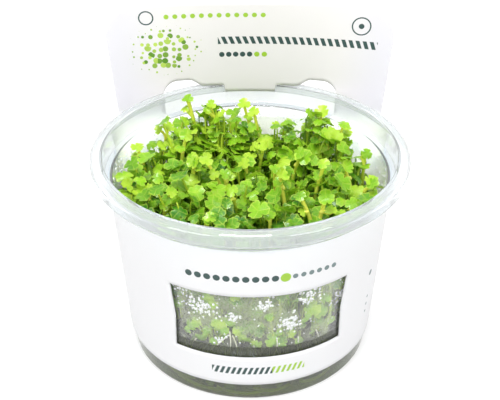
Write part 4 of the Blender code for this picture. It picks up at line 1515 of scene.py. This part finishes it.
# Roots on the wall: degrees and height where each starts and where it ends, in mm
WALL_ROOTS = (
    (-9.0, 27.5, -9.8, 16.6), (-7.7, 26.0, -5.6, 17.4), (-10.9, 24.9, -18.3, 17.9),
    (2.0, 25.0, 4.5, 15.5), (12.0, 24.0, 9.0, 15.0), (22.0, 23.5, 25.0, 14.5),
    (-25.0, 22.0, -28.0, 14.0), (31.0, 24.0, 33.0, 15.5))
# Clusters of drops in the window: degrees from the front, height, spread in mm and count
DROP_CLUSTERS = (
    (-20.5, 36.6, 4.2, 90), (-7.0, 34.3, 1.6, 22), (6.2, 39.6, 2.2, 36), (16.7, 30.6, 2.8, 66),
    (25.6, 40.2, 3.4, 60), (42.0, 35.0, 2.4, 34), (-30.0, 41.0, 1.8, 10),
    (-14.0, 24.0, 2.0, 12), (-78.0, 53.0, 8.0, 34), (-102.0, 56.0, 6.0, 26))
# Stray drops: the spans of degrees, height and size in mm, and the count
STRAY_DROPS = (((-40.0, 48.0), (22.5, 43.0), (0.12, 0.32), 90),
               ((50.0, 320.0), (46.0, 61.0), (0.14, 0.45), 420))
# Runners in the gel by the wall: degrees and height at start, middle and end, in mm
RUNNERS = (
    (-36.0, 4.2, -24.0, 2.6, -12.0, 3.4), (-16.0, 3.8, -4.0, 2.4, 7.0, 3.4),
    (2.0, 5.0, 10.0, 3.0, 19.0, 4.4), (-44.0, 6.4, -35.0, 4.6, -27.0, 5.4),
    (24.0, 4.6, 33.0, 3.4, 41.0, 5.2))


def on_wall(azimuth, height, inset):
    """Points inside the wall, by degrees from the front and height, and the way outwards."""
    angle = np.radians(azimuth)
    outward = np.stack((np.sin(angle), -np.cos(angle), np.zeros_like(angle)), axis=-1)
    reach = cup_inside(height) - inset
    points = reach[..., None] * outward
    points[..., 2] = height
    return points, outward


def wall_leaves():
    """The leaves pressed to the wall in the window, facing outwards."""
    draw = draws("pressed")
    azimuth, height, radius = np.array(WINDOW_LEAVES).T
    count = len(radius)
    radius = PRESSED_SHARE * radius * MM
    _, outward = on_wall(azimuth, height * MM, np.zeros(count))
    normal = unit(outward + draw.normal(0.0, 0.35, (count, 3)))
    lean = np.sqrt(1.0 - np.sum(normal * outward, axis=-1) ** 2)
    centre, _ = on_wall(azimuth, height * MM, 0.35 * MM + 0.9 * lean * radius)
    leaves = leaf_arrays(draw, centre, normal, radius, PRESSED_CUP)
    leaves["tone"] = draw.uniform(0.5, 1.0, count)
    return leaves


def wiped(azimuth, height):
    """The share of mist left on the wall: little where a leaf is pressed to it."""
    middle, level, radius = np.array(WINDOW_LEAVES).T
    around = np.radians(azimuth[..., None] - middle) * cup_inside(height)[..., None]
    up = height[..., None] - level * MM
    nearest = np.min(np.hypot(around, up) / (PRESSED_SHARE * radius * MM), axis=-1)
    return mix(0.1, 1.0, smoothstep(0.8, 1.2, nearest))


def sunk_leaves():
    """Small leaves of the runners, in the gel close to the wall."""
    draw = draws("sunk")
    azimuth, height, radius = np.array(SUNK_LEAVES).T
    count = len(radius)
    centre, outward = on_wall(azimuth, height * MM, np.full(count, SUNK_INSET))
    return {
        "centre": centre, "normal": unit(outward + draw.normal(0.0, 0.15, (count, 3))),
        "spin": draw.uniform(0.0, math.tau, count), "radius": radius * MM,
        "cup": np.full(count, -0.1), "wave": draw.uniform(0.0, math.tau, count),
        "tone": draw.uniform(0.4, 0.9, count)}


def low_leaves(settings):
    """The sparser leaves between the gel and the carpet, more of them near the wall."""
    draw = draws("low")
    count = settings.low_leaves
    angle = draw.uniform(0.0, math.tau, count)
    height = draw.uniform(*LOW_HEIGHTS, count) * MM
    sizes = settings.leaf_size * draw.uniform(*LOW_SIZES, count)
    reach = (cup_inside(height) - sizes - 0.3 * MM) * draw.uniform(0.0, 1.0, count) ** 0.28
    heading = angle + draw.normal(0.0, 0.8, count)
    tilt = np.radians(draw.uniform(*LOW_TILT, count))
    centres = np.stack((reach * np.cos(angle), reach * np.sin(angle), height), axis=-1)
    leaves = leaf_arrays(draw, centres, tilted(heading, tilt), sizes, LOW_CUP)
    leaves["tone"] = np.clip(draw.normal(*LOW_TONE, count), 0.0, 1.0)
    return leaves


def drop_places():
    """Where water stands on the inner wall: the window's clusters, and strays all round."""
    draw = draws("drops")
    found = [
        (middle + draw.normal(0.0, spread * 0.85, count),
         level + draw.normal(0.0, spread * 0.55, count), draw.uniform(0.20, 0.52, count))
        for middle, level, spread, count in DROP_CLUSTERS]
    for *spans, count in STRAY_DROPS:
        found.append([draw.uniform(*span, count) for span in spans])
    azimuth, height, size = (np.concatenate(column) for column in zip(*found))
    return azimuth, height * MM, size * MM


def drops_on_wall(azimuth, height, size):
    """Flattened domes on the inner wall, closed by a flat back.

    On the ring at angle q from the dome's foot, a point lies size * cos q from the drop's
    middle, along and up the wall, and DROP_DEPTH * size * sin q in from it.
    """
    foot, outward = on_wall(azimuth, height, np.full_like(size, DROP_INSET))
    upward = unit(np.array((0.0, 0.0, 1.0)) + WALL_TAPER * outward)
    along = np.cross(upward, outward)
    q = np.radians(DROP_RINGS)
    t = np.arange(DROP_SIDES) * math.tau / DROP_SIDES
    flat = (np.cos(t)[:, None] * along[:, None, None, :]
            + DROP_STRETCH * np.sin(t)[:, None] * upward[:, None, None, :])
    rings = (np.cos(q)[None, :, None, None] * flat
             - DROP_DEPTH * np.sin(q)[None, :, None, None] * outward[:, None, None, :])
    crown = -DROP_DEPTH * outward[:, None, :]
    shape = np.concatenate((rings.reshape(len(size), -1, 3), crown), axis=1)
    points = foot[:, None, :] + size[:, None, None] * shape
    step = np.arange(DROP_SIDES)
    after = (step + 1) % DROP_SIDES
    tip = len(q) * DROP_SIDES
    top = tip - DROP_SIDES
    fan = np.stack((top + step, top + after, np.full(DROP_SIDES, tip)), axis=-1)
    faces = []
    for shape_faces in (ring_quads(len(q), DROP_SIDES), fan, step[None, ::-1]):
        faces += repeated(shape_faces, tip + 1, len(size)).tolist()
    return points.reshape(-1, 3), faces


def mist_film():
    """The film on the wall as a grid, and how much mist each of its points has.

    It is thickest in front, between the window's sides and below its top. It thins out over
    the gel's edge, at the film's foot and top, and where leaves are pressed to the wall.
    """
    around = np.linspace(-180.0, 180.0, MIST_COLUMNS + 1)[:-1]
    levels = np.linspace(*MIST_LEVELS) * MM
    azimuth, height = np.meshgrid(around, levels, indexing="ij")
    points, _ = on_wall(azimuth, height, MIST_INSET)
    number = np.arange(MIST_COLUMNS)[:, None]
    column = number * len(levels)
    after = (number + 1) % MIST_COLUMNS * len(levels)
    row = np.arange(len(levels) - 1)
    faces = np.stack((column + row, after + row, after + row + 1, column + row + 1), axis=-1)
    in_front = 1.0 - smoothstep(*MIST_EDGE, np.abs(azimuth - MIST_MIDDLE))
    over_window = smoothstep(*MIST_WINDOW_TOP, height)
    over_gel = smoothstep(*MIST_OVER_GEL, height)
    mist = mix(*MIST_SHARES, in_front) * (1.0 - over_window)
    mist += MIST_ABOVE_WINDOW * over_window
    mist *= wiped(azimuth, height)
    # Painted light: below the gel's edge the film goes on at half strength inside the gel,
    # where no mist forms, as a pale veil that lightens the window's foot
    mist *= mix(0.5, 1.0, over_gel) * smoothstep(*MIST_FOOT, height) * (
        1.0 - smoothstep(*MIST_TOP, height))
    return points.reshape(-1, 3), faces.reshape(-1, 4).tolist(), mist


def bent_along_wall(rows, inset):
    """Smooth paths inside the wall through rows of start, middle and end, by angle and height.

    The path is the parabola through its three places, which it meets at 0, 1/2 and 1.
    """
    places = np.array(rows).reshape(len(rows), 3, 2)
    t = np.linspace(0.0, 1.0, WALL_PATH_POINTS)[None, :, None]
    path = (places[:, None, 0] * (1 - t) * (1 - 2 * t) + places[:, None, 1] * 4 * t * (1 - t)
            + places[:, None, 2] * t * (2 * t - 1))
    points, _ = on_wall(path[..., 0], path[..., 1] * MM, inset)
    return points


# Operators

class POT_OT_cup(bpy.types.Operator):
    """Build the smooth clear cup with its flange, skirt and lid seat"""

    bl_idname = "pennywort_pot.cup"
    bl_label = "Clear cup"

    def execute(self, context):
        settings = context.scene.pennywort_pot.cup
        points, faces = turned(cup_profile(), settings.segments)
        faces = [face[::-1] for face in faces]
        wall = clear_plastic("clear_wall", settings.tint, settings.milkiness)
        # The rim takes the greyer tint of painted shade
        rim = clear_plastic("clear_rim", settings.rim_tint_and_shade, settings.rim_milkiness)
        cup = add_piece("cup_clear", points, faces, wall, "clear_plastic")
        cup.data.materials.append(rim)
        lowest = np.array([points[face, 2].min() for face in faces])
        of_rim = (lowest > RIM_LOOK_FROM).astype(np.int32)
        cup.data.polygons.foreach_set("material_index", of_rim)
        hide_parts("cup")
        return {"FINISHED"}


class POT_OT_gel(bpy.types.Operator):
    """Build the bed of nutrient gel"""

    bl_idname = "pennywort_pot.gel"
    bl_label = "Nutrient gel"

    def execute(self, context):
        pot = context.scene.pennywort_pot
        points, faces = turned(gel_profile(), pot.cup.segments)
        reach = np.hypot(points[:, 0], points[:, 1])
        angle = np.arctan2(points[:, 1], points[:, 0])
        uneven = np.sin(3.0 * angle + 1.0) + np.sin(7.0 * angle)
        on_top = points[:, 2] > GEL_HEIGHT - 1.0 * MM
        points[:, 2] += np.where(on_top & (reach > 1.0 * MM), GEL_UNEVENNESS * uneven, 0.0)
        gel = add_piece("gel_bed", points, faces, nutrient_gel(pot.gel), "nutrient_gel")
        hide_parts("gel")
        return {"FINISHED"}


class POT_OT_card(bpy.types.Operator):
    """Build the card sleeve with its window, slot, tab and header"""

    bl_idname = "pennywort_pot.card"
    bl_label = "Card sleeve and header"

    def execute(self, context):
        settings = context.scene.pennywort_pot.card
        points, faces, printed = card_grid()
        half_round = math.pi * card_radius(CARD_TOP)
        on_sleeve = printed[:, 1] < HEADER_PRINT_FROM
        from_front = (half_round - np.abs(printed[:, 0])) * np.sign(printed[:, 0])
        along = np.where(on_sleeve, from_front, printed[:, 0])
        used = np.unique(faces)
        fresh = np.full(len(points), -1)
        fresh[used] = np.arange(len(used))
        card = add_piece(
            "card", points[used], fresh[faces].tolist(), sleeve_card(settings), "white_card",
            along=along[used] / MM, up=printed[used, 1] / MM)
        card.data.materials.append(header_card(settings))
        thickness = card.modifiers.new("thickness", "SOLIDIFY")
        thickness.thickness = CARD_THICKNESS
        thickness.offset = -1.0
        thickness.material_offset = 1
        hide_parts("card_sleeve")
        return {"FINISHED"}


class POT_OT_plantlets(bpy.types.Operator):
    """Build the main plantlets where their solids stand"""

    bl_idname = "pennywort_pot.plantlets"
    bl_label = "Main plantlets"

    def execute(self, context):
        settings = context.scene.pennywort_pot.plants
        layout = plant_layout()
        draw = draws("blades")
        found = [leaf for plantlet in layout for leaf in plantlet["leaves"]]
        total = len(found)
        leaves = {
            label: np.array([leaf[label] for leaf in found])
            for label in ("centre", "normal", "spin", "radius")}
        leaves["cup"] = draw.uniform(*PLANTLET_CUP, total)
        leaves["wave"] = draw.uniform(0.0, math.tau, total)
        # Painted shade: the plantlets' leaves towards the front are painted darker
        painted_front_shade = smoothstep(*FRONT_SHADE, -leaves["centre"][:, 1])
        leaves["tone"] = np.clip(
            draw.normal(*PLANTLET_TONE, total) - 0.45 * painted_front_shade, 0.0, 1.0)
        points, faces, values = blades(leaves, fine=True)
        blade = add_piece("plantlet_blades", points, faces,
                          pennywort_leaf("pennywort_leaf", settings), "leaf", **values)
        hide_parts(*PLANTLET_NODES)
        controls = [np.array([leaf["controls"][k] for leaf in found]) for k in range(4)]
        controls[3] = under(leaves)
        stalks = petioles(*controls, np.full(total, PETIOLE_RADIUS), draw,
                          length=FINE_STEPS, sides=FINE_SIDES)
        foot, _, head = (np.array([plantlet["stem"][k] for plantlet in layout])
                         for k in range(3))
        pull = upright(STEM_PULL, len(foot))
        paths = curve_paths(foot, pull, pull, head, FINE_STEPS)
        tone = draw.uniform(*PLANTLET_STEM_TONE, len(foot))
        stems = even_tubes(paths, STEM_RADIUS, STEM_SIDES, tone)
        points, faces, values = joined(stalks, stems)
        add_piece("plantlet_stems", points, faces, petiole_green(settings), "leaf", **values)
        return {"FINISHED"}


class POT_OT_carpet(bpy.types.Operator):
    """Fill the cup with small leaves on their petioles, and the tufts that carry them"""

    bl_idname = "pennywort_pot.carpet"
    bl_label = "Leaf carpet"

    def execute(self, context):
        settings = context.scene.pennywort_pot.plants
        draw = draws("carpet_stems")
        leaves = carpet_leaves(settings)
        raised, feet = stalk_leaves()
        points, faces, values = joined(blades(leaves), blades(raised, fine=True))
        add_piece("carpet_blades", points, faces, pennywort_leaf("carpet_leaf", settings),
                  "leaf", **values)
        places = tuft_places(settings.tufts)
        least = leaves["centre"][:, 2] - HIGHEST_PETIOLE_FOOT
        drop = np.maximum(draw.uniform(*CARPET_DROPS, len(least)) * MM, least)
        stalks = hung(leaves, places, drop, CARPET_PULLS, CARPET_PETIOLES, draw)
        tufts = len(places)
        foot = np.concatenate((places, np.full((tufts, 1), ROOT_BOTTOM)), axis=1)
        lean = draw.uniform(-TUFT_LEAN, TUFT_LEAN, (tufts, 2)) * MM
        top = draw.uniform(*TUFT_TOP, (tufts, 1)) * MM
        head = np.concatenate((places + lean, top), axis=1)
        bow = draw.uniform(-TUFT_BOW, TUFT_BOW, (tufts, 3)) * MM
        bow[:, 2] = TUFT_RISE
        paths = curve_paths(foot, bow, bow[::-1], head, TUFT_STEPS)
        stems = even_tubes(paths, TUFT_RADIUS, TUFT_SIDES, draw.uniform(*TUFT_TONE, tufts))
        leaving = STALK_LEAVING * np.linalg.norm(raised["centre"] - feet, axis=-1)
        radii = draw.uniform(*STALK_RADII, len(feet)) * MM
        tall = petioles(
            feet, leaving[:, None] * np.array((0.0, 0.0, 1.0)),
            STALK_ARRIVING * raised["normal"], under(raised), radii, draw,
            length=FINE_STEPS, sides=FINE_SIDES, funnel=STALK_FUNNEL)
        tone = draw.uniform(*STALK_STEM_TONE, len(feet))
        tall[2]["tone"][:] = np.repeat(tone, FINE_STEPS * FINE_SIDES)
        points, faces, values = joined(stalks, stems, tall)
        add_piece("carpet_stems", points, faces, petiole_green(settings), "leaf", **values)
        return {"FINISHED"}


class POT_OT_window(bpy.types.Operator):
    """Build the leaves behind and against the window, their stems and the runners"""

    bl_idname = "pennywort_pot.window"
    bl_label = "Leaves and runners in the window"

    def execute(self, context):
        settings = context.scene.pennywort_pot.plants
        draw = draws("low_stems")
        pressed = wall_leaves()
        low = low_leaves(settings)
        sunk = sunk_leaves()
        points, faces, values = joined(
            blades(pressed, fine=True), blades(low), blades(sunk, fine=True))
        wet_leaf = pennywort_leaf("low_leaf", settings, LOW_WETNESS)
        add_piece("low_blades", points, faces, wet_leaf, "leaf", **values)
        places = tuft_places(settings.tufts)
        groups = []
        for leaves in (pressed, low, sunk):
            drop = draw.uniform(*LOW_DROPS, len(leaves["centre"])) * MM
            groups.append(hung(leaves, places, drop, LOW_PULLS, LOW_PETIOLES, draw))
        runners = bent_along_wall(RUNNERS, SUNK_INSET)
        groups.append(even_tubes(runners, RUNNER_RADIUS, 6, np.full(len(runners), 0.6)))
        points, faces, values = joined(*groups)
        add_piece("low_stems", points, faces, petiole_green(settings), "leaf", **values)
        return {"FINISHED"}


class POT_OT_roots(bpy.types.Operator):
    """Build the fine roots in the gel and down the inside of the wall"""

    bl_idname = "pennywort_pot.roots"
    bl_label = "Fine roots"

    def execute(self, context):
        settings = context.scene.pennywort_pot.plants
        draw = draws("roots")
        first, top, last, bottom = np.array(WALL_ROOTS).T
        middle = mix(first, last, 0.5) + draw.uniform(-ROOT_BOW, ROOT_BOW, len(top))
        rows = np.stack((first, top, middle, mix(top, bottom, 0.5), last, bottom), axis=-1)
        wall_paths = bent_along_wall(rows, ROOT_INSET)
        feet = np.repeat(tuft_places(settings.tufts), ROOTS_EACH, axis=0)
        count = len(feet)
        start = np.concatenate((feet, np.full((count, 1), GEL_HEIGHT - 1.0 * MM)), axis=1)
        drift = draw.normal(0.0, ROOT_DRIFT, (count, 2)) * MM
        end = np.concatenate(
            (feet + drift, draw.uniform(*ROOT_DEPTHS, (count, 1)) * MM), axis=1)
        reach = np.hypot(end[:, 0], end[:, 1])
        end[:, :2] *= np.minimum(1.0, ROOT_REACH / reach)[:, None]
        pull = draw.normal(0.0, ROOT_CURL, (count, 3)) * MM
        pull[:, 2] = ROOT_FALL
        gel_paths = curve_paths(start, pull, pull[::-1], end, WALL_PATH_POINTS)
        paths = np.concatenate((wall_paths, gel_paths))
        taper = np.linspace(*ROOT_RADII, WALL_PATH_POINTS) * MM
        points, faces = tubes(paths, np.broadcast_to(taper, paths.shape[:2]), 5)
        add_piece("fine_roots", points, faces, root_white(), "leaf")
        return {"FINISHED"}


class POT_OT_water(bpy.types.Operator):
    """Build the mist and the drops of condensed water on the inside of the wall, the mist with
    a veil of painted light
    """

    bl_idname = "pennywort_pot.water"
    bl_label = "Condensation"

    def execute(self, context):
        azimuth, height, size = drop_places()
        points, faces = drops_on_wall(azimuth, height, size)
        add_piece("wall_drops", points, faces, water_drop(), "clear_plastic")
        points, faces, mist = mist_film()
        add_piece("wall_mist_and_painted_light", points, faces, wall_mist_and_painted_light(), "clear_plastic", mist=mist)
        return {"FINISHED"}


class POT_OT_stage(bpy.types.Operator):
    """Set the white floor, the soft lights, the white surroundings and the camera"""

    bl_idname = "pennywort_pot.stage"
    bl_label = "Studio"

    def execute(self, context):
        settings = context.scene.pennywort_pot.stage
        scene = context.scene
        half = FLOOR_HALF
        floor_mesh = bpy.data.meshes.new("floor")
        floor_mesh.from_pydata(
            ((-half, -half, 0.0), (half, -half, 0.0), (half, half, 0.0), (-half, half, 0.0)),
            [], [(0, 1, 2, 3)])
        floor_mesh.materials.append(studio_floor())
        floor = bpy.data.objects.new("floor", floor_mesh)
        scene.collection.objects.link(floor)
        add_light("top_softbox", *TOP_LIGHT, settings.key_power)
        add_light("left_softbox", *LEFT_LIGHT, settings.side_power)
        add_light("right_softbox", *RIGHT_LIGHT, settings.side_power)
        world = bpy.data.worlds.new("white_room")
        world.use_nodes = True
        background = world.node_tree.nodes["Background"]
        background.inputs["Color"].default_value = (1.0, 1.0, 1.0, 1.0)
        background.inputs["Strength"].default_value = settings.sky
        scene.world = world
        scene.view_settings.view_transform = "Standard"
        camera_data = bpy.data.cameras.new("camera")
        camera_data.lens = CAMERA_LENS
        camera_data.sensor_width = CAMERA_SENSOR
        camera_data.clip_start = CAMERA_CLIP
        camera = bpy.data.objects.new("camera", camera_data)
        camera.location = CAMERA_PLACE
        face(camera, CAMERA_AIM)
        scene.collection.objects.link(camera)
        scene.camera = camera
        return {"FINISHED"}


def face(thing, place):
    """Turn a camera or a light towards a place."""
    aim = Vector(place) - thing.location
    thing.rotation_euler = aim.to_track_quat("-Z", "Y").to_euler()


def add_light(name, place, size, power):
    """A square softbox that faces the pot."""
    data = bpy.data.lights.new(name, "AREA")
    data.size = size
    data.energy = power
    lamp = bpy.data.objects.new(name, data)
    lamp.location = place
    face(lamp, LIGHT_AIM)
    bpy.context.scene.collection.objects.link(lamp)


class POT_PT_panel(bpy.types.Panel):
    """The pot's settings, and a button for each piece"""

    bl_idname = "POT_PT_panel"
    bl_label = "Pennywort pot"
    bl_space_type = "VIEW_3D"
    bl_region_type = "UI"
    bl_category = "Pennywort pot"

    def draw(self, context):
        pot = context.scene.pennywort_pot
        for group in (pot.cup, pot.gel, pot.card, pot.plants, pot.stage):
            box = self.layout.box()
            for label in type(group).__annotations__:
                box.prop(group, label)
        for step in STEPS:
            self.layout.operator(step.bl_idname)


STEPS = (POT_OT_stage, POT_OT_cup, POT_OT_gel, POT_OT_card, POT_OT_plantlets, POT_OT_carpet,
         POT_OT_window, POT_OT_roots, POT_OT_water)
SETTINGS = (CupSettings, GelSettings, CardSettings, PlantSettings, StageSettings, PotSettings)


def register():
    for kind in SETTINGS + STEPS + (POT_PT_panel,):
        bpy.utils.register_class(kind)
    bpy.types.Scene.pennywort_pot = PointerProperty(type=PotSettings)


def unregister():
    del bpy.types.Scene.pennywort_pot
    for kind in reversed(SETTINGS + STEPS + (POT_PT_panel,)):
        bpy.utils.unregister_class(kind)


def main():
    register()
    for step in STEPS:
        group, action = step.bl_idname.split(".")
        getattr(getattr(bpy.ops, group), action)()


if __name__ == "__main__":
    main()
